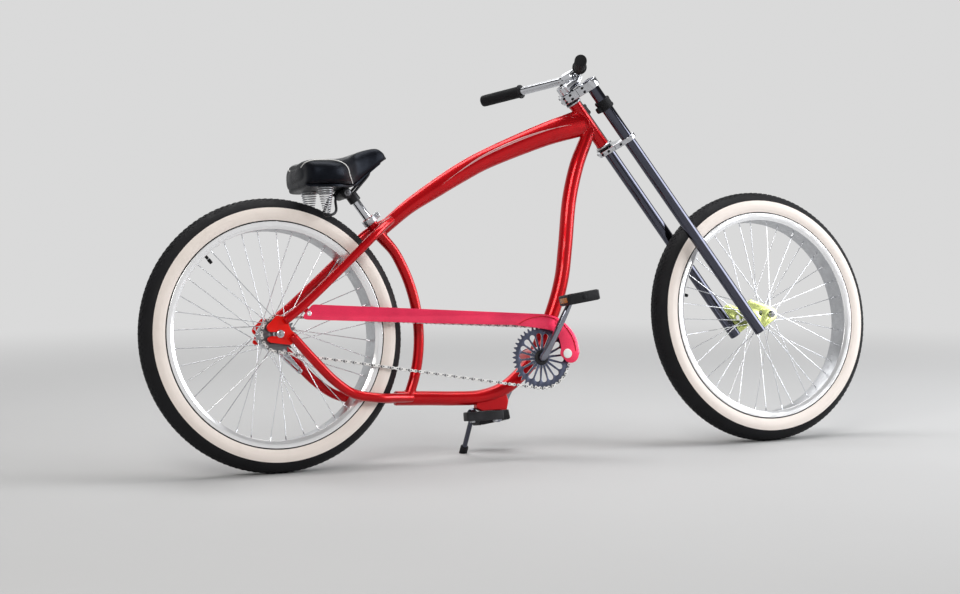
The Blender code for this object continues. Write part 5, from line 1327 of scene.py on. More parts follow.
pedals = {"length": 0.092, "width": 0.062, "height": 0.028, "inside": 0.1131, "windowLength": 0.020,
          "windowAt": 0.026, "windowWidth": 0.046, "ribAt": (-0.041, -0.010, 0.010, 0.041)}


def makePedal(side):
    level = turn(stance["crankDegrees"] - stance["pedalPitchDegrees"], "Y")
    at = crankPlace @ shift(-side * drive["crankLength"], 0, 0) @ level
    spindle = newShape()
    out = at @ outTo[side]
    addNut(spindle, out @ shift(0, 0, 0.1078), 0.0095, 0.0050)
    addSolid(spindle, [(0, 0.1082), (0.0060, 0.1082), (0.0058, 0.1520), (0.0050, 0.1686), (0, 0.1686)],
             0.0006, 2, 32, out)
    addSided("pedalSpindle", "pedal_spindle", side, spindle, "crankset", [chrome])
    body = newShape()
    middle = side * (pedals["inside"] + pedals["width"] / 2)
    outer = rounded(rectangle(pedals["length"] / 2, pedals["width"] / 2), 0.006, 5)
    window = rectangle(pedals["windowLength"] / 2, pedals["windowWidth"] / 2)
    windows = [rounded([(x + end * pedals["windowAt"], y) for x, y in window], 0.003, 3) for end in (-1, 1)]
    flat = at @ shift(0, middle, 0)
    addPlate(body, [outer, *windows], pedals["height"] - 0.003, flat, 0.0016, 2)
    # raised grip ribs on both faces and a round boss over the spindle
    for face in (-0.0129, 0.0129):
        for x in pedals["ribAt"]:
            addBlock(body, (0.0034, pedals["width"] - 0.012, 0.0022), flat @ shift(x, 0, face), 0.0007)
        for y in (-0.026, 0.026):
            addBlock(body, (pedals["length"] - 0.016, 0.0034, 0.0022), flat @ shift(0, y, face), 0.0007)
    addSolid(body, [(0, 0.1140), (0.0090, 0.1140), (0.0090, 0.1725), (0.0086, 0.1744), (0.0060, 0.1750),
                    (0, 0.1750)], 0.0006, 2, 40, out)
    addSolid(body, [(0, 0.1735), (0.0062, 0.1735), (0.0058, 0.1764), (0, 0.1770)], 0.0006, 2, 40, out, 2)
    for end in (-1, 1):
        addBlock(body, (0.0024, 0.040, 0.0135), flat @ shift(end * 0.0460, 0, 0), 0.0006, finish=1)
        addBlock(body, (0.0020, 0.045, 0.0185), flat @ shift(end * 0.0456, 0, 0), 0.0006)
    addSided("pedal", "pedal", side, body, "pedal" + nodeSides[side],
             [blackPlastic, amber, gripBlack], 40)


for side in (-1, 1):
    makePedal(side)
print("drive made")


# Chain guard with its embossed arc, cap, tab and peg

guard = {"beside": 0.060, "thickness": 0.0016, "boss": (0.772, 0.348), "tab": (0.080, 0.396),
         "cap": (0.7965, 0.265)}


def fromCrank(x, z):
    return (crankX + x, crankZ + z)


def fromAxle(x, z):
    return (x, tyreR + z)


def partway(start, end, share, rise):
    return (start[0] + (end[0] - start[0]) * share, start[1] + (end[1] - start[1]) * share + rise)


overRing = [fromCrank(0.0050, 0.1140), fromCrank(0.0410, 0.1060), fromCrank(0.0690, 0.0870)]
hookFront = [fromCrank(0.0960, 0.0540), fromCrank(0.1050, 0.0140)]
hookEnd = arc(fromCrank(0.0795, 0.0060), 0.0240, -10.0, -150.0, 5)
hookBack = [fromCrank(0.0490, 0.0060), fromCrank(0.0520, 0.0260)]
underRing = [fromCrank(0.0440, 0.0550), fromCrank(0.0220, 0.0710), fromCrank(-0.0780, 0.0880)]
rearLow, rearHigh = fromAxle(0.0540, 0.0340), fromAxle(0.0900, 0.0710)
topMiddle = partway(rearHigh, overRing[0], 0.489, 0.0002)
lowMiddle = partway(rearLow, underRing[-1], 0.583, -0.0008)
curved = smoothRun([*overRing, *hookFront, *hookEnd, *hookBack, *underRing], 5)
guardOutline = [(*rearLow, 0.012), (*rearHigh, 0.014), topMiddle, *[tuple(p) for p in curved], lowMiddle]
guardShape = newShape()
guardAt = bikePlace @ shift(0, -guard["beside"], 0) @ sideOn
addPlate(guardShape, [rounded(guardOutline, 0.002, 5, leastDegrees=30)], guard["thickness"], guardAt,
         0.0005, 1)
# pressed bead that arches over the chainring and follows the hook's outer edge; it takes the darker frame red
# as painted shade along the pressed step
bead = [fromCrank(*spot) for spot in (
    (-0.0660, 0.0905), (-0.0450, 0.1005), (-0.0200, 0.1065), (0.0060, 0.1085), (0.0300, 0.1030),
    (0.0520, 0.0920), (0.0700, 0.0765), (0.0840, 0.0560), (0.0920, 0.0350), (0.0955, 0.0120))]
beadRun = [(x, -0.0608, z, 0.0012, 0.0021) for x, z in smoothRun(bead, 6)]
addSweep(guardShape, beadRun, bikePlace, 20, (0.0, 1.0, 0.0), finish=2)
for (x, z), headFinish in ((guard["tab"], 1), (guard["boss"], 0)):
    addSolid(guardShape, [(0, 0), (0.0066, 0), (0.0064, 0.0010), (0.0050, 0.0022), (0.0030, 0.0026),
                          (0.0026, 0.0012), (0, 0.0012)], 0.0004, 3, 32,
             bikePlace @ shift(x, -0.0606, z) @ rightward, headFinish)
addPiece("chainGuard", guardShape, "frame", ["chain_guard"], [guardRed, alloy, candyRed], 35)

cap = newShape()
addSolid(cap, [(0, 0), (0.0125, 0), (0.0125, 0.0016), (0.0112, 0.0028), (0, 0.0033)], 0.0006, 3, 48,
         bikePlace @ shift(guard["cap"][0], -0.0611, guard["cap"][1]) @ rightward)
addPiece("guardCap", cap, "frame", ["guard_cap"], [whitePlastic])

mounts = newShape()
bossX, bossZ = guard["boss"]
addRod(mounts, (bossX, -0.008, bossZ), (bossX, -0.0587, bossZ), 0.0058, bikePlace)
tabFoot = fromAxle(0.0637, 0.0685)
tabSlope = atan2(guard["tab"][1] - tabFoot[1], guard["tab"][0] - tabFoot[0])
tabLength = hypot(guard["tab"][0] - tabFoot[0], guard["tab"][1] - tabFoot[1]) + 0.008
tabAt = shift(tabFoot[0] + tabLength / 2 * cos(tabSlope), -0.0575, tabFoot[1] + tabLength / 2 * sin(tabSlope))
addBlock(mounts, (tabLength, 0.013, 0.003), bikePlace @ tabAt @ turn(-degrees(tabSlope), "Y") @ sideOn,
         0.0007)
# far chain stay's fender tab and the small boss on the far seat stay
addBlock(mounts, (0.016, 0.012, 0.004), bikePlace @ shift(0.2190, 0.0535, 0.1750) @ turn(35, "Y") @ sideOn,
         0.0012)
addRod(mounts, (0.1480, 0.0560, 0.4700), (0.1530, 0.0560, 0.4620), 0.0050, bikePlace)
addPiece("frameTabs", mounts, "frame", [], [candyRed])

# Coaster brake arm and its clip on the left chain stay

clipX, _, clipZ, clipY, _ = chainStayRun[1]
armEnd = (clipX - 0.0060, clipZ - 0.0145 - tyreR)
armShape = newShape()
armOutline = [*arc((0, 0), 0.0150, 45, 215, 16), *arc(armEnd, 0.0070, 215, 405, 12)]
addPlate(armShape, [armOutline, circle(0.0052, 24)], 0.0034, bikePlace @ shift(0, 0.049, tyreR) @ sideOn,
         0.0007, 2)
addPiece("brakeArm", armShape, "frame", ["brake_arm"], [chrome])
clipShape = newShape()
clipPlace = np.array((clipX, clipY, clipZ))
clipWay = np.array((0.0910, 0.0, -0.1000)) / hypot(0.0910, 0.1000)
clipAt = bikePlace @ aim(clipPlace, clipPlace + clipWay)
addTurned(clipShape, [(0.0149, 0.006), (0.0149, -0.006), (0.0131, -0.006), (0.0131, 0.006)], 0.0006, 2, 48,
          clipAt)
earInner, earOuter = 0.0510, clipY - 0.0125
earX, earZ = (clipX + armEnd[0]) / 2, (clipZ + tyreR + armEnd[1]) / 2
earAt = bikePlace @ shift(earX, (earInner + earOuter) / 2, earZ)
earTurn = turn(degrees(atan2(-clipWay[2], clipWay[0])), "Y")
addBlock(clipShape, (0.0100, 0.0240, earOuter - earInner), earAt @ earTurn @ sideOn, 0.0010)
clipBolt = Vector((armEnd[0], 0.0462, tyreR + armEnd[1]))
addNut(clipShape, bikePlace @ Matrix.Translation(clipBolt) @ rightward, 0.0055, 0.0034, finish=1)
addPiece("brakeArmClip", clipShape, "frame", ["brake_arm_clip"], [candyRed, chrome])

# Seat clamp: silver ring, its split ear and the bolt through it

clampShape = newShape()
clampAt = bikePlace @ aim(stubTop + seatDown * 0.016, stubTop)
addTurned(clampShape, [(0.0194, 0.0), (0.0194, 0.016), (0.0159, 0.016), (0.0159, 0.0)], 0.0010, 3, 64,
          clampAt)
seatTurn = turn(tubes["seatDegrees"] - 90, "Y")
earCentre = stubTop + seatDown * 0.008 + seatAhead * 0.0232
for side in (-1, 1):
    at = bikePlace @ shift(earCentre[0], side * 0.0047, earCentre[2]) @ seatTurn @ sideOn
    addBlock(clampShape, (0.0155, 0.0150, 0.0068), at, 0.0018)
boltCentre = stubTop + seatDown * 0.008 + seatAhead * 0.0242
boltAt = bikePlace @ shift(*boltCentre)
addRod(clampShape, (0, -0.0108, 0), (0, 0.0108, 0), 0.0030, boltAt, sides=24, finish=1)
addNut(clampShape, boltAt @ rightward @ shift(0, 0, 0.0080), 0.0046, 0.0036, finish=1)
addSolid(clampShape, [(0, 0.0082), (0.0044, 0.0082), (0.0044, 0.0112), (0.0024, 0.0118), (0.0022, 0.0100),
                      (0, 0.0100)], 0.0004, 2, 28, boltAt @ leftward, 1)
addPiece("seatClamp", clampShape, "frame", ["seat_clamp"], [steel, chrome])

# Kickstand: red gusset, black bracket, chrome leg and rubber foot

kick = {"plateBelow": 0.0375, "plateWidth": 0.0235, "pivotDegrees": -45.0, "legDegrees": 4.0,
        "legRadius": 0.0065, "footRadius": 0.0105}
kickX, kickZ = bowed((crankX, crankZ), onBow(-28.5, -0.0335), [(0.4298, 0.0585)])[0][0::2]
plateLow = -kick["plateBelow"]
kickPlate = newShape()
plateOutline = [(x, plateLow + z) for x, z in (
    (-0.0170, 0.0235), (-0.0170, 0.0085), (-0.0030, 0.0), (0.0690, 0.0), (0.0750, 0.0235), (0.0690, 0.0485),
    (0.0050, 0.0375))]
addPlate(kickPlate, [rounded(plateOutline, 0.006, 4)], kick["plateWidth"],
         bikePlace @ shift(kickX, 0, kickZ) @ sideOn, 0.0030, 3)
addPiece("kickstandPlate", kickPlate, "frame", ["kickstand_plate"], [candyRed])
standAt = bikePlace @ shift(kickX - 0.014, 0.026, kickZ - 0.043) @ turn(kick["pivotDegrees"], "X")
bracketTop = kickZ + plateLow - 0.0003
bracket = newShape()
addBlock(bracket, (0.1050, 0.0290, 0.0240), bikePlace @ shift(kickX + 0.0025, -0.0055, bracketTop - 0.0120),
         0.0030)
addRod(bracket, (0, 0, -0.0253), (0, 0, -0.0093), 0.0140, standAt, sides=48, edge=0.001)
addRod(bracket, (0, 0, -0.0133), (0, 0, 0.0110), 0.0040, standAt, sides=24, finish=1)
addNut(bracket, standAt @ shift(0, 0, 0.0093), 0.0072, 0.0046, finish=1)
for x in (-0.030, 0.036):
    under = bikePlace @ shift(kickX + x, -0.0055, bracketTop - 0.0238) @ turn(180, "X")
    addNut(bracket, under, 0.0075, 0.0046, finish=1)
addPiece("kickstandBracket", bracket, "frame", ["kickstand_bracket"], [blackMetal, steel])
legLean = radians(kick["legDegrees"])
legDown = Vector((sin(legLean), cos(legLean), 0.0))
down = standAt.to_3x3() @ legDown
reach = -standAt.translation.z / down.z
legShape = newShape()
addTurned(legShape, [(0.0043, -0.009), (0.0130, -0.009), (0.0130, 0.009), (0.0043, 0.009)], 0.0012, 3, 48,
          standAt)
legRun = [(*(legDown * t), kick["legRadius"]) for t in np.linspace(0.006, reach - 0.014, 24)]
addSweep(legShape, legRun, standAt, 32)
addPiece("kickstandLeg", legShape, "kickstand", ["kickstand_leg"], [smokedChrome])
foot = newShape()
rings, footRuns = [], []
wide = kick["footRadius"]
for along, radius in ((0.0, 0.0068), (0.0003, 0.0098), (0.0012, wide), (0.0040, wide), (0.0048, 0.0100),
                      (0.0056, wide), (0.0100, wide), (0.0108, 0.0100), (0.0116, wide), (0.0440, wide)):
    centre = legDown * (reach - 0.024 + along)
    matrix = aim(centre, centre + legDown)
    ring = [standAt @ matrix @ Vector((radius * cos(2 * pi * j / 40), radius * sin(2 * pi * j / 40), 0))
            for j in range(40)]
    if along > 0.020:
        # the sole lies flat on the floor
        ring = [p - down * (p.z / down.z) for p in ring]
    rings.append([tuple(p) for p in ring])
    footRuns.append(along)
addRings(foot, rings, footRuns)
addPiece("kickstandFoot", foot, "kickstand", ["kickstand_foot"], [gripBlack])
print("guard, brake arm, seat clamp and kickstand made")


# Fork: legs, clamps, headset, bumpers and axle plates, in the fork's own frame

fork = {"legAhead": 0.040, "legBeside": 0.062, "legRadius": 0.016, "legTop": 0.107, "legLow": -0.741,
        "clampTop": 0.1043, "clampLow": 0.0803, "lowerTop": -0.0803, "lowerLow": -0.0943,
        "boss": 0.0255, "legBoss": 0.0225, "steererRadius": 0.0127}

for side in (-1, 1):
    leg = newShape()
    at = forkPlace @ shift(fork["legAhead"], side * fork["legBeside"], 0)
    addSolid(leg, [(0, fork["legTop"] - 0.0015), (0.0085, fork["legTop"] - 0.0015), (0.0095, fork["legTop"]),
                   (fork["legRadius"], fork["legTop"]), (fork["legRadius"], fork["legLow"]),
                   (0.0137, fork["legLow"]), (0.0137, -0.70), (0, -0.70)], 0.0010, 3, 64, at)
    addSided("forkLeg", "fork_leg", side, leg, "steering", [smokedChrome])


# each flank of a clamp runs straight from the steerer's boss to the leg's, where this angle touches both
flankAngle = (atan2(fork["legBeside"], fork["legAhead"]) + pi / 2
              - asin((fork["boss"] - fork["legBoss"]) / hypot(fork["legAhead"], fork["legBeside"])))


def clampOutline():
    tangent = degrees(flankAngle)
    half = [*arc((0, 0), fork["boss"], 180, tangent, 12),
            *arc((fork["legAhead"], fork["legBeside"]), fork["legBoss"], tangent, -75, 26)]
    front = (fork["legAhead"] - 0.004, 0.0)
    whole = [*half, front, *[(x, -y) for x, y in reversed(half[1:])]]
    return rounded(whole, 0.010, 5, leastDegrees=25)


def flankSpot(side, share):
    # a point on the clamp's flat flank between the two bosses, and the angle that it faces
    out = fork["boss"] + share * (fork["legBoss"] - fork["boss"])
    x, y = share * fork["legAhead"] + out * cos(flankAngle), share * fork["legBeside"] + out * sin(flankAngle)
    return (x, side * y), side * flankAngle


def legHoles(radius):
    return [circle(radius, 48, (fork["legAhead"], side * fork["legBeside"])) for side in (-1, 1)]


def boltTree():
    # socket bolts: a round head with its hexagon hollow, set on points that say which way they face
    head = newShape()
    sides = 18
    rows, runs = [], []
    for radius, height, hexagon in (
            (0.0030, -0.0015, 0), (0.0041, 0.0, 0), (0.0042, 0.0004, 0), (0.0042, 0.0034, 0),
            (0.0038, 0.0040, 0), (0.0026, 0.0040, 1), (0.0024, 0.0016, 1)):
        ring = []
        for j in range(sides):
            angle = 2 * pi * j / sides
            size = radius * (cos(pi / 6) / cos((angle % (pi / 3)) - pi / 6) if hexagon else 1.0)
            ring.append((size * cos(angle), size * sin(angle), height))
        rows.append(ring)
        runs.append(height)
    addRings(head, rows, runs)
    helper = helperObject("boltHead", head)
    tree = newTree("socketBolts", {"Head": helper, "Size": 1.0, "Finish": blackMetal})
    heads = setOn(tree, inputOf(tree, "Points"), shapeOf(tree, "Head"), facingOf(tree), inputOf(tree, "Size"))
    endTree(tree, heads, inputOf(tree, "Finish"))
    return tree, helper


bolts, boltHead = boltTree()


def setBolts(name, spots, size):
    # spots: point and the direction that each head looks
    facings = [tuple(Vector(way).to_track_quat("Z", "Y").to_euler()) for _, way in spots]
    mesh = grown(bolts, {"Head": boltHead, "Size": size, "Finish": blackMetal}, forkPlace,
                 [point for point, _ in spots], facings)
    addPiece(name, mesh, "steering", [], [blackMetal], 40)


for name, node, low, high in (("upperClamp", "upper_clamp", fork["clampLow"], fork["clampTop"]),
                              ("lowerClamp", "lower_clamp", fork["lowerLow"], fork["lowerTop"])):
    clamp = newShape()
    middle = (low + high) / 2
    addPlate(clamp, [clampOutline(), *legHoles(0.0163), circle(0.0130, 40)], high - low,
             forkPlace @ shift(0, 0, middle), 0.0018, 3)
    for side in (-1, 1):
        # thin black block on each flank, standing in as painted shade for the pinch slot
        point, facing = flankSpot(side, 0.52)
        slot = forkPlace @ Matrix.Translation((*point, middle)) @ turn(degrees(facing), "Z")
        addBlock(clamp, (0.0012, 0.0011, high - low - 0.004), slot, 0.0003, finish=1)
    addPiece(name, clamp, "steering", [node], [chrome, blackMetal])

clampBolts = []
for height in (0.0862, 0.0984, -0.0873):
    for side in (-1, 1):
        for share in (0.22, 0.78):
            point, facing = flankSpot(side, share)
            clampBolts.append(((*point, height), (cos(facing), sin(facing), 0)))
across, along = cos(3.6), sin(3.6)
for height in (0.0865, 0.0985, -0.0873):
    clampBolts.append(((fork["boss"] * across, fork["boss"] * along, height), (across, along, 0)))
setBolts("clampBolts", clampBolts, 0.80)

steererShape = newShape()
addRod(steererShape, (0, 0, fork["lowerLow"]), (0, 0, fork["clampTop"]), fork["steererRadius"], forkPlace,
       sides=40, edge=0.001)
addPiece("steererTube", steererShape, "steering", ["steerer"], [steel])

for name, node, flip in (("headsetUpper", "headset_upper", 0), ("headsetLower", "headset_lower", 180)):
    cupShape = newShape()
    at = headPlace @ turn(flip, "X")
    addTurned(cupShape, [(0.0130, 0.0683), (0.0190, 0.0683), (0.0215, 0.0700), (0.0215, 0.0727),
                         (0.0207, 0.0734), (0.0130, 0.0734)], 0.0007, 3, 64, at)
    addTurned(cupShape, [(0.0130, 0.0739), (0.0198, 0.0739), (0.0212, 0.0752), (0.0190, 0.0785),
                         (0.0150, 0.0800), (0.0130, 0.0800)], 0.0007, 3, 64, at, 1)
    addPiece(name, cupShape, "frame", [node], [steel, blackMetal])

for side in (-1, 1):
    bumper = newShape()
    at = forkPlace @ shift(fork["legAhead"], side * fork["legBeside"], 0)
    addTurned(bumper, [
        (0.0162, 0.012), (0.0205, 0.012), (0.0220, 0.0145), (0.0220, 0.0190), (0.0209, 0.0205),
        (0.0209, 0.0325), (0.0220, 0.0340), (0.0220, 0.0385), (0.0205, 0.041), (0.0162, 0.041)],
              0.0010, 3, 56, at)
    addBlock(bumper, (0.022, 0.018, 0.016), at @ shift(-0.0190, 0, 0.022), 0.0035)
    addSided("bumper", "bumper", side, bumper, "steering", [gripBlack])

axleZ = -stance["axleDrop"]
nose = (stance["axleAhead"], axleZ)
outline = [(0.0505, axleZ - 0.0140), (0.0505, axleZ + 0.0720), (0.073, axleZ + 0.0720),
           *arc(nose, 0.0180, 38, -95, 22)]
window = circle(0.0072, 28, (stance["axleAhead"] - 0.0265, axleZ + 0.0225))
for side in (-1, 1):
    shape = newShape()
    at = forkPlace @ shift(0, side * 0.057, 0) @ sideOn
    addPlate(shape, [rounded(outline, 0.006, 4), window, circle(0.0050, 24, nose)], 0.006, at, 0.0009, 2)
    # welded foot against the inside of the leg
    footAt = forkPlace @ shift(0.0490, side * 0.0570, axleZ + 0.0300) @ sideOn
    addBlock(shape, (0.0150, 0.0700, 0.0050), footAt, 0.0015)
    addSided("axlePlate", "axle_plate", side, shape, "steering", [goldLime])

# Stem, handlebar and grips

bar = {"radius": 0.0111, "ahead": 0.040, "height": 0.1290, "end": (-0.0735, 0.280, 0.1920),
       "gripRadius": 0.0160, "gripLength": 0.130, "flange": 0.0190, "ribs": 26, "ribStep": 0.0044}
stemShape = newShape()
addSolid(stemShape, [(0, 0.1046), (0.0190, 0.1046), (0.0190, 0.1250), (0.0160, 0.1286), (0, 0.1286)],
         0.0022, 4, 64, forkPlace)
addBlock(stemShape, (0.054, 0.0540, 0.0215), forkPlace @ shift(0.0185, 0, 0.1160), 0.0050)
headAt = forkPlace @ shift(bar["ahead"], 0, bar["height"]) @ leftward
addTurned(stemShape, [(0.0113, -0.024), (0.0195, -0.024), (0.0195, 0.024), (0.0113, 0.024)], 0.0020, 4, 64,
          headAt)
for side in (-1, 1):
    near, far = side * 0.0236, side * 0.0238
    addLathe(stemShape, [(0.0113, near), (0.0150, near), (0.0150, far), (0.0113, far)], 64, headAt, finish=1)
addPiece("stemBody", stemShape, "steering", ["stem"], [chrome, blackMetal])
setBolts("stemBolts", [*[((0.0585, side * 0.0150, 0.1290), (1, 0, 0)) for side in (-1, 1)],
                       ((0.0, 0.0, 0.1284), (0, 0, 1))], 1.05)

barEnd = np.array(bar["end"])
barBend = np.array((bar["ahead"] - 0.0035, 0.044, bar["height"] + 0.0018))
barWay = (barEnd - barBend) / np.linalg.norm(barEnd - barBend)


def barSide(side):
    mirror = np.array((1.0, side, 1.0))
    run = [(bar["ahead"], 0.027, bar["height"]), (bar["ahead"] - 0.0003, 0.030, bar["height"]),
           *[tuple(barBend + barWay * t) for t in (0.0, 0.018, 0.08, 0.16)], tuple(barEnd - barWay * 0.004)]
    return [(*(np.array(p) * mirror), bar["radius"]) for p in run]


barShape = newShape()
barRun = [*reversed(barSide(-1)), (bar["ahead"], 0.0, bar["height"], bar["radius"]), *barSide(1)]
addSweep(barShape, smoothRun(barRun, 8), forkPlace, 48, (0.0, 0.0, 1.0))
addPiece("barTube", barShape, "steering", ["handlebar"], [chrome])
for side in (-1, 1):
    mirror = np.array((1.0, side, 1.0))
    outer, along = barEnd * mirror, barWay * mirror
    inner = outer - along * bar["gripLength"]
    grip = newShape()
    profile = [(0.0113, -0.0005), (0.0186, -0.0005), (bar["flange"], 0.0008), (bar["flange"], 0.0040),
               (0.0182, 0.0050), (0.0158, 0.0056)]
    for k in range(bar["ribs"]):
        start = 0.0085 + k * bar["ribStep"]
        profile += [(0.0153, start), (bar["gripRadius"], start + 0.0008), (bar["gripRadius"], start + 0.0028),
                    (0.0153, start + 0.0036)]
    profile += [(0.0158, 0.1262), (0.0150, 0.1292), (0.0128, 0.1300), (0, 0.1300), (0, 0.1265),
                (0.0113, 0.1262)]
    addLathe(grip, profile, 40, forkPlace @ aim(inner, inner + along))
    addSided("grip", "grip", side, grip, "steering", [gripBlack], 30)
print("fork, bar and grips made")


# Seat post, saddle clamp, wire frame, springs and the padded saddle

seat = {"postRadius": 0.0111, "exposed": 0.074, "inserted": 0.050, "railRadius": 0.0034, "railGap": 0.022,
        "wire": 0.0015, "turns": 12, "springTop": 0.0205, "springFoot": 0.0070, "halfWidth": 0.113,
        "across": 0.55, "up": 0.75, "down": 0.5, "around": 96}
postTop = stubTop - seatDown * seat["exposed"]
clampX, clampZ = postTop[0] - 0.0231, postTop[2] + 0.0029
springX, springY, springFootZ, saddleZ = clampX - 0.069, 0.062, clampZ - 0.055, clampZ + 0.012

post = newShape()
addRod(post, stubTop + seatDown * seat["inserted"], postTop, seat["postRadius"], bikePlace, 48, 0.001)
addPiece("seatPost", post, "seat", ["seat_post"], [chrome])

clamp = newShape()
addSolid(clamp, [(0, -0.031), (0.0118, -0.031), (0.0140, -0.0285), (0.0140, 0.0285), (0.0118, 0.031),
                 (0, 0.031)], 0.0012, 3, 48, bikePlace @ shift(clampX, 0, clampZ) @ leftward)
collar = aim(postTop + seatDown * 0.020, postTop - seatDown * 0.003)
addTurned(clamp, [(0.0113, 0), (0.0156, 0), (0.0156, 0.0225), (0.0120, 0.0232), (0, 0.0232), (0, 0.0222),
                  (0.0113, 0.0222)], 0.0010, 3, 48, bikePlace @ collar)
addBlock(clamp, (0.024, 0.026, 0.016), bikePlace @ shift(clampX + 0.0090, 0, clampZ - 0.0040), 0.0035)
for side in (-1, 1):
    nutAt = bikePlace @ shift(clampX, 0, clampZ) @ outTo[side] @ shift(0, 0, 0.0308)
    addNut(clamp, nutAt, 0.0098, 0.0062, 0.0040, finish=1)
    addRod(clamp, (clampX, side * 0.030, clampZ), (clampX, side * 0.0392, clampZ), 0.0038, bikePlace, 20,
           finish=1)
addPiece("saddleClamp", clamp, "seat", ["saddle_clamp"], [blackMetal, darkSteel])

noseX, noseZ = clampX + 0.075, saddleZ + 0.045


def railSide(side):
    footZ, gap = springFootZ - seat["railRadius"], seat["railGap"]
    run = [(springX, springY, footZ), (springX + 0.015, springY, footZ),
           (springX + 0.030, springY - 0.012, footZ + 0.012), (clampX - 0.032, gap + 0.008, clampZ - 0.018),
           *[(clampX + ahead, gap, clampZ) for ahead in (-0.021, -0.015, 0.015, 0.021)],
           (noseX - 0.0300, gap - 0.004, noseZ - 0.0340), (noseX - 0.0060, gap - 0.010, noseZ - 0.0100)]
    return [(x, side * y, z, seat["railRadius"]) for x, y, z in run]


rails = newShape()
railLine = [*railSide(-1), (noseX, 0.0, noseZ, seat["railRadius"]), *reversed(railSide(1))]
addSweep(rails, smoothRun(railLine, 6), bikePlace, 20, edge=0.001)
for side in (-1, 1):
    low = (springX, side * springY, springFootZ - 1.6 * seat["railRadius"])
    addSolid(rails, [(0, 0), (0.0078, 0), (0.0090, 0.0012), (0.0090, 0.0044), (0.0060, 0.0054), (0, 0.0054)],
             0.0008, 3, 36, bikePlace @ shift(*low))
    addNut(rails, bikePlace @ shift(*low) @ turn(180, "X"), 0.0062, 0.0040)
# wire cradle that ties the two springs together under the cushion
cradle = [(springX - 0.012, -0.070, saddleZ + 0.0020), (springX - 0.030, -0.045, saddleZ + 0.0015),
          (springX - 0.036, 0.0, saddleZ + 0.0015), (springX - 0.030, 0.045, saddleZ + 0.0015),
          (springX - 0.012, 0.070, saddleZ + 0.0020)]
addSweep(rails, smoothRun([(*p, 0.0028) for p in cradle], 8), bikePlace, 16, edge=0.001)
addPiece("saddleRails", rails, "seat", ["saddle_rails"], [blackMetal])

springLow, springHigh = springFootZ + 0.0003 + seat["wire"], saddleZ - 0.0003 - seat["wire"]
for side in (-1, 1):
    run = []
    for i in range(30 * seat["turns"] + 1):
        turned = i / 30
        share = turned / seat["turns"]
        rise = min(max((turned - 0.5) / (seat["turns"] - 1.0), 0.0), 1.0)
        radius = seat["springFoot"] + (seat["springTop"] - seat["springFoot"]) * share
        angle = 2 * pi * turned
        run.append((springX + radius * cos(angle), side * (springY + radius * sin(angle)),
                    springLow + (springHigh - springLow) * rise, seat["wire"]))
    coil = newShape()
    addSweep(coil, run, bikePlace, 12, edge=0.0006)
    addSided("spring", "spring", side, coil, "seat", [steel], 60)

sections = smoothRun([(clampX + x, seat["halfWidth"] * half, saddleZ + low, saddleZ + high)
                      for x, half, low, high in (
    (-0.1245, 0.50, 0.0200, 0.0550), (-0.1210, 0.74, 0.0050, 0.0650), (-0.1060, 0.92, 0.0000, 0.0700),
    (-0.0710, 1.00, 0.0000, 0.0710), (-0.0360, 0.93, 0.0000, 0.0720), (-0.0060, 0.70, 0.0000, 0.0775),
    (0.0240, 0.41, 0.0080, 0.0870), (0.0590, 0.29, 0.0330, 0.0980), (0.0920, 0.24, 0.0570, 0.1035),
    (0.1110, 0.18, 0.0700, 0.0950), (0.1210, 0.08, 0.0760, 0.0830))], 9)


def saddlePoint(section, share):
    # share goes once round the cross section from the right edge over the top
    x, wide, low, high = section
    middle, tall = (low + high) / 2, (high - low) / 2
    angle = 2 * pi * share
    across = abs(cos(angle))**seat["across"] * (1 if cos(angle) >= 0 else -1)
    rise = abs(sin(angle))**seat["up"] if sin(angle) >= 0 else -abs(sin(angle))**seat["down"]
    tuck = 1.0 - 0.05 * max(0.0, -rise)**2 - 0.03 * max(0.0, rise)
    y, z = wide * across * tuck, middle + tall * rise
    if rise > 0:
        # the top crowns over each sit bone and dips along the middle
        aside = abs(y / (wide + 1e-6))
        z += tall * 0.10 * (1 - (2 * abs(aside - 0.5))**2) * rise - 0.0022 * (1 - aside**2) * rise
    return np.array((x, y, z))


cushion = newShape()
shares = np.arange(seat["around"]) / seat["around"]
rings = np.array([[saddlePoint(section, share) for share in shares] for section in sections])
ends = []
for ring, ahead in ((rings[0], -1), (rings[-1], 1)):
    middle = ring.mean(0)
    ends.append([middle + (ring - middle) * cos(a) + np.array((ahead * 0.0035 * sin(a), 0, 0))
                 for a in np.radians((25, 50, 72, 88))])
rings = np.concatenate([np.array(ends[0])[::-1], rings, np.array(ends[1])])
addRings(cushion, placed(rings, bikePlace), list(range(len(rings))))
saddlePiece = addPiece("saddleCushion", cushion, "seat", ["saddle"], [vinyl], 80)


# Piping over the rear half's crown, turning down to the lower edge at the waist

def seamRun(side):
    run = []
    for section in sections:
        turned = (section[0] - clampX + 0.080) / 0.092
        if turned > 1.0:
            break
        p = saddlePoint(section, 0.145 - 0.275 * max(0.0, turned)**2.2)
        run.append((p[0], side * p[1], p[2]))
    return run


pipes = newShape()
for side in (-1, 1):
    addSweep(pipes, [(*p, 0.0016) for p in seamRun(side)], bikePlace, 12, edge=0.0008)
addPiece("saddlePiping", pipes, "seat", [], [whitePlastic], 60)
base = newShape()
pan = []
for section in sections[6:-14]:
    pan.append([(section[0], y, section[2] - 0.0012) for y in np.linspace(-0.80, 0.80, 9) * section[1]]
               + [(section[0], y, section[2] + 0.0035) for y in np.linspace(0.80, -0.80, 9) * section[1]])
addRings(base, placed(np.array(pan), bikePlace), list(range(len(pan))))
addPiece("saddlePan", base, "seat", [], [vinyl], 40)
print("saddle made")


# Helpers that the trees repeated are done with

for helper in (*lacingShapes, treadShape, *linkShapes, boltHead):
    bpy.data.objects.remove(helper)

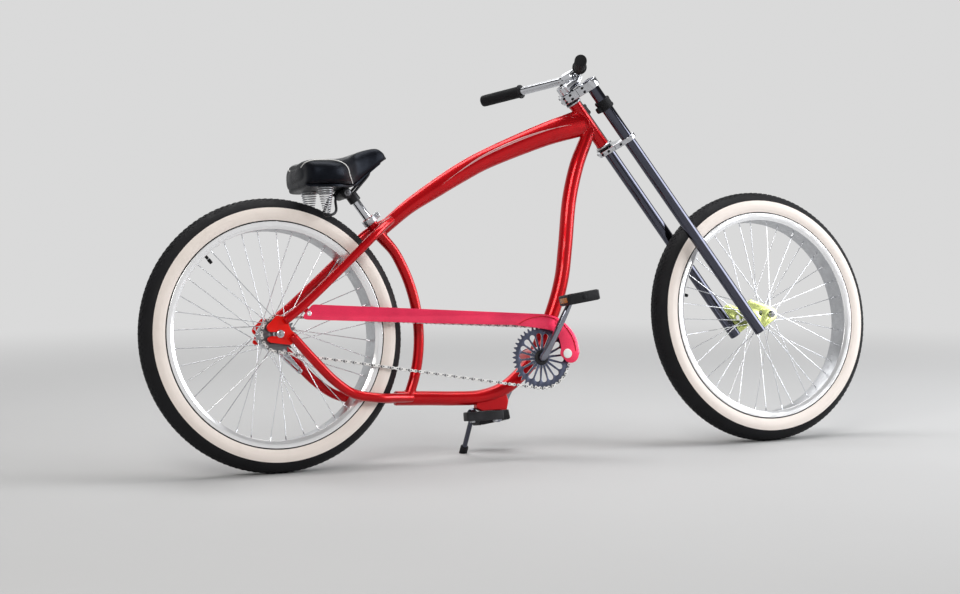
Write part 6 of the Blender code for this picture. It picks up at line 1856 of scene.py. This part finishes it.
# Floor, backdrop, lamps and camera

studio = {"floor": (0.50, 0.50, 0.50), "pale": (0.70, 0.70, 0.70), "edge": (1.9, 4.2), "keyPower": 128.0,
          "fillPower": 218.0, "topPower": 185.0, "backPower": 42.0, "sky": 0.09,
          "lens": 83.18, "lookAt": (-0.121, -0.050, 0.419), "distance": 5.874,
          "azimuth": -24.5, "elevation": 4.31}


def seenDirectly(tree):
    # rays that see the background: the camera's own, and those off metal or through clear plastic
    path = addNode(tree, "ShaderNodeLightPath").outputs
    return maths(tree, "MAXIMUM", path["Is Camera Ray"],
                 maths(tree, "MAXIMUM", path["Is Glossy Ray"], path["Is Transmission Ray"]))


floorMaterial, tree, shader = newFinish("studioFloor")
cloud = noise(tree, objectCoords(tree), 1.6, 4.0)
settle(shader, Base_Color=mixed(tree, cloud, studio["floor"], tinted(studio["floor"], 0.97)), Roughness=0.8,
       Specular_IOR_Level=0.1)
away = addNode(tree, "ShaderNodeVectorMath", {0: objectCoords(tree)}, operation="LENGTH").outputs["Value"]
near, far = studio["edge"]
fade = addNode(tree, "ShaderNodeMapRange", {"Value": away, "From Min": near, "From Max": far},
               interpolation_type="SMOOTHSTEP").outputs[0]
glow = addNode(tree, "ShaderNodeEmission", {"Color": (*studio["pale"], 1.0)}).outputs[0]
blend = addNode(tree, "ShaderNodeMixShader", {0: times(tree, fade, seenDirectly(tree)),
                                              1: shader.outputs[0], 2: glow}).outputs[0]
tree.links.new(blend, tree.nodes["Material Output"].inputs["Surface"])
disc = newShape()
disc["points"] = [(x, y, 0.0) for x, y in circle(30.0, 64)]
disc["run"] = [(0, 0, 0)] * 64
disc["faces"], disc["finish"] = [tuple(range(64))], [0]
floorMesh = shapeMesh("studioFloor", disc)
floorMesh.materials.append(floorMaterial)
studioFloor = bpy.data.objects.new("studioFloor", floorMesh)
bpy.context.scene.collection.objects.link(studioFloor)


def addLamp(name, place, target, size, power, tone=(1.0, 1.0, 1.0)):
    lamp = bpy.data.lights.new(name, "AREA")
    lamp.shape = "RECTANGLE"
    lamp.size, lamp.size_y = size
    lamp.energy = power
    lamp.color = tone
    holder = bpy.data.objects.new(name, lamp)
    holder.location = place
    holder.rotation_euler = (Vector(target) - Vector(place)).to_track_quat("-Z", "Y").to_euler()
    holder.visible_camera = False
    bpy.context.scene.collection.objects.link(holder)


addLamp("keyLamp", (-3.2, -3.6, 3.4), (0.0, 0.0, 0.4), (2.6, 1.8), studio["keyPower"], (1.0, 0.98, 0.95))
addLamp("fillLamp", (4.45, -1.95, 2.05), (0.5, 0.0, 0.6), (3.5, 2.6), studio["fillPower"], (0.95, 0.97, 1.0))
addLamp("topLamp", (0.4, 0.6, 4.3), (0.0, 0.0, 0.4), (6.0, 1.6), studio["topPower"])
addLamp("backLamp", (0.6, 4.4, 3.0), (0.0, 0.0, 0.4), (3.6, 1.6), studio["backPower"])

world = bpy.data.worlds.new("studioSky")
bpy.context.scene.world = world
world.use_nodes = True
sky = world.node_tree
background = sky.nodes["Background"]
ways = addNode(sky, "ShaderNodeTexCoord").outputs["Generated"]
up = addNode(sky, "ShaderNodeSeparateXYZ", {0: ways}).outputs[2]
band = between(sky, up, 1.0, 0.0, 0.20, 0.45)
seen = mixed(sky, band, tinted(studio["pale"], 0.2), studio["pale"])
sky.links.new(mixed(sky, seenDirectly(sky), (studio["sky"],) * 3, seen), background.inputs["Color"])

lens = bpy.data.cameras.new("studioCamera")
lens.sensor_width = 36.0
lens.lens = studio["lens"]
lens.clip_end = 60.0
camera = bpy.data.objects.new("studioCamera", lens)
az, el = radians(studio["azimuth"]), radians(studio["elevation"])
back = Vector((sin(az) * cos(el), -cos(az) * cos(el), sin(el)))
camera.location = Vector(studio["lookAt"]) + back * studio["distance"]
camera.rotation_euler = (-back).to_track_quat("-Z", "Y").to_euler()
bpy.context.scene.collection.objects.link(camera)
bpy.context.scene.camera = camera
bpy.context.scene.view_settings.view_transform = "Standard"
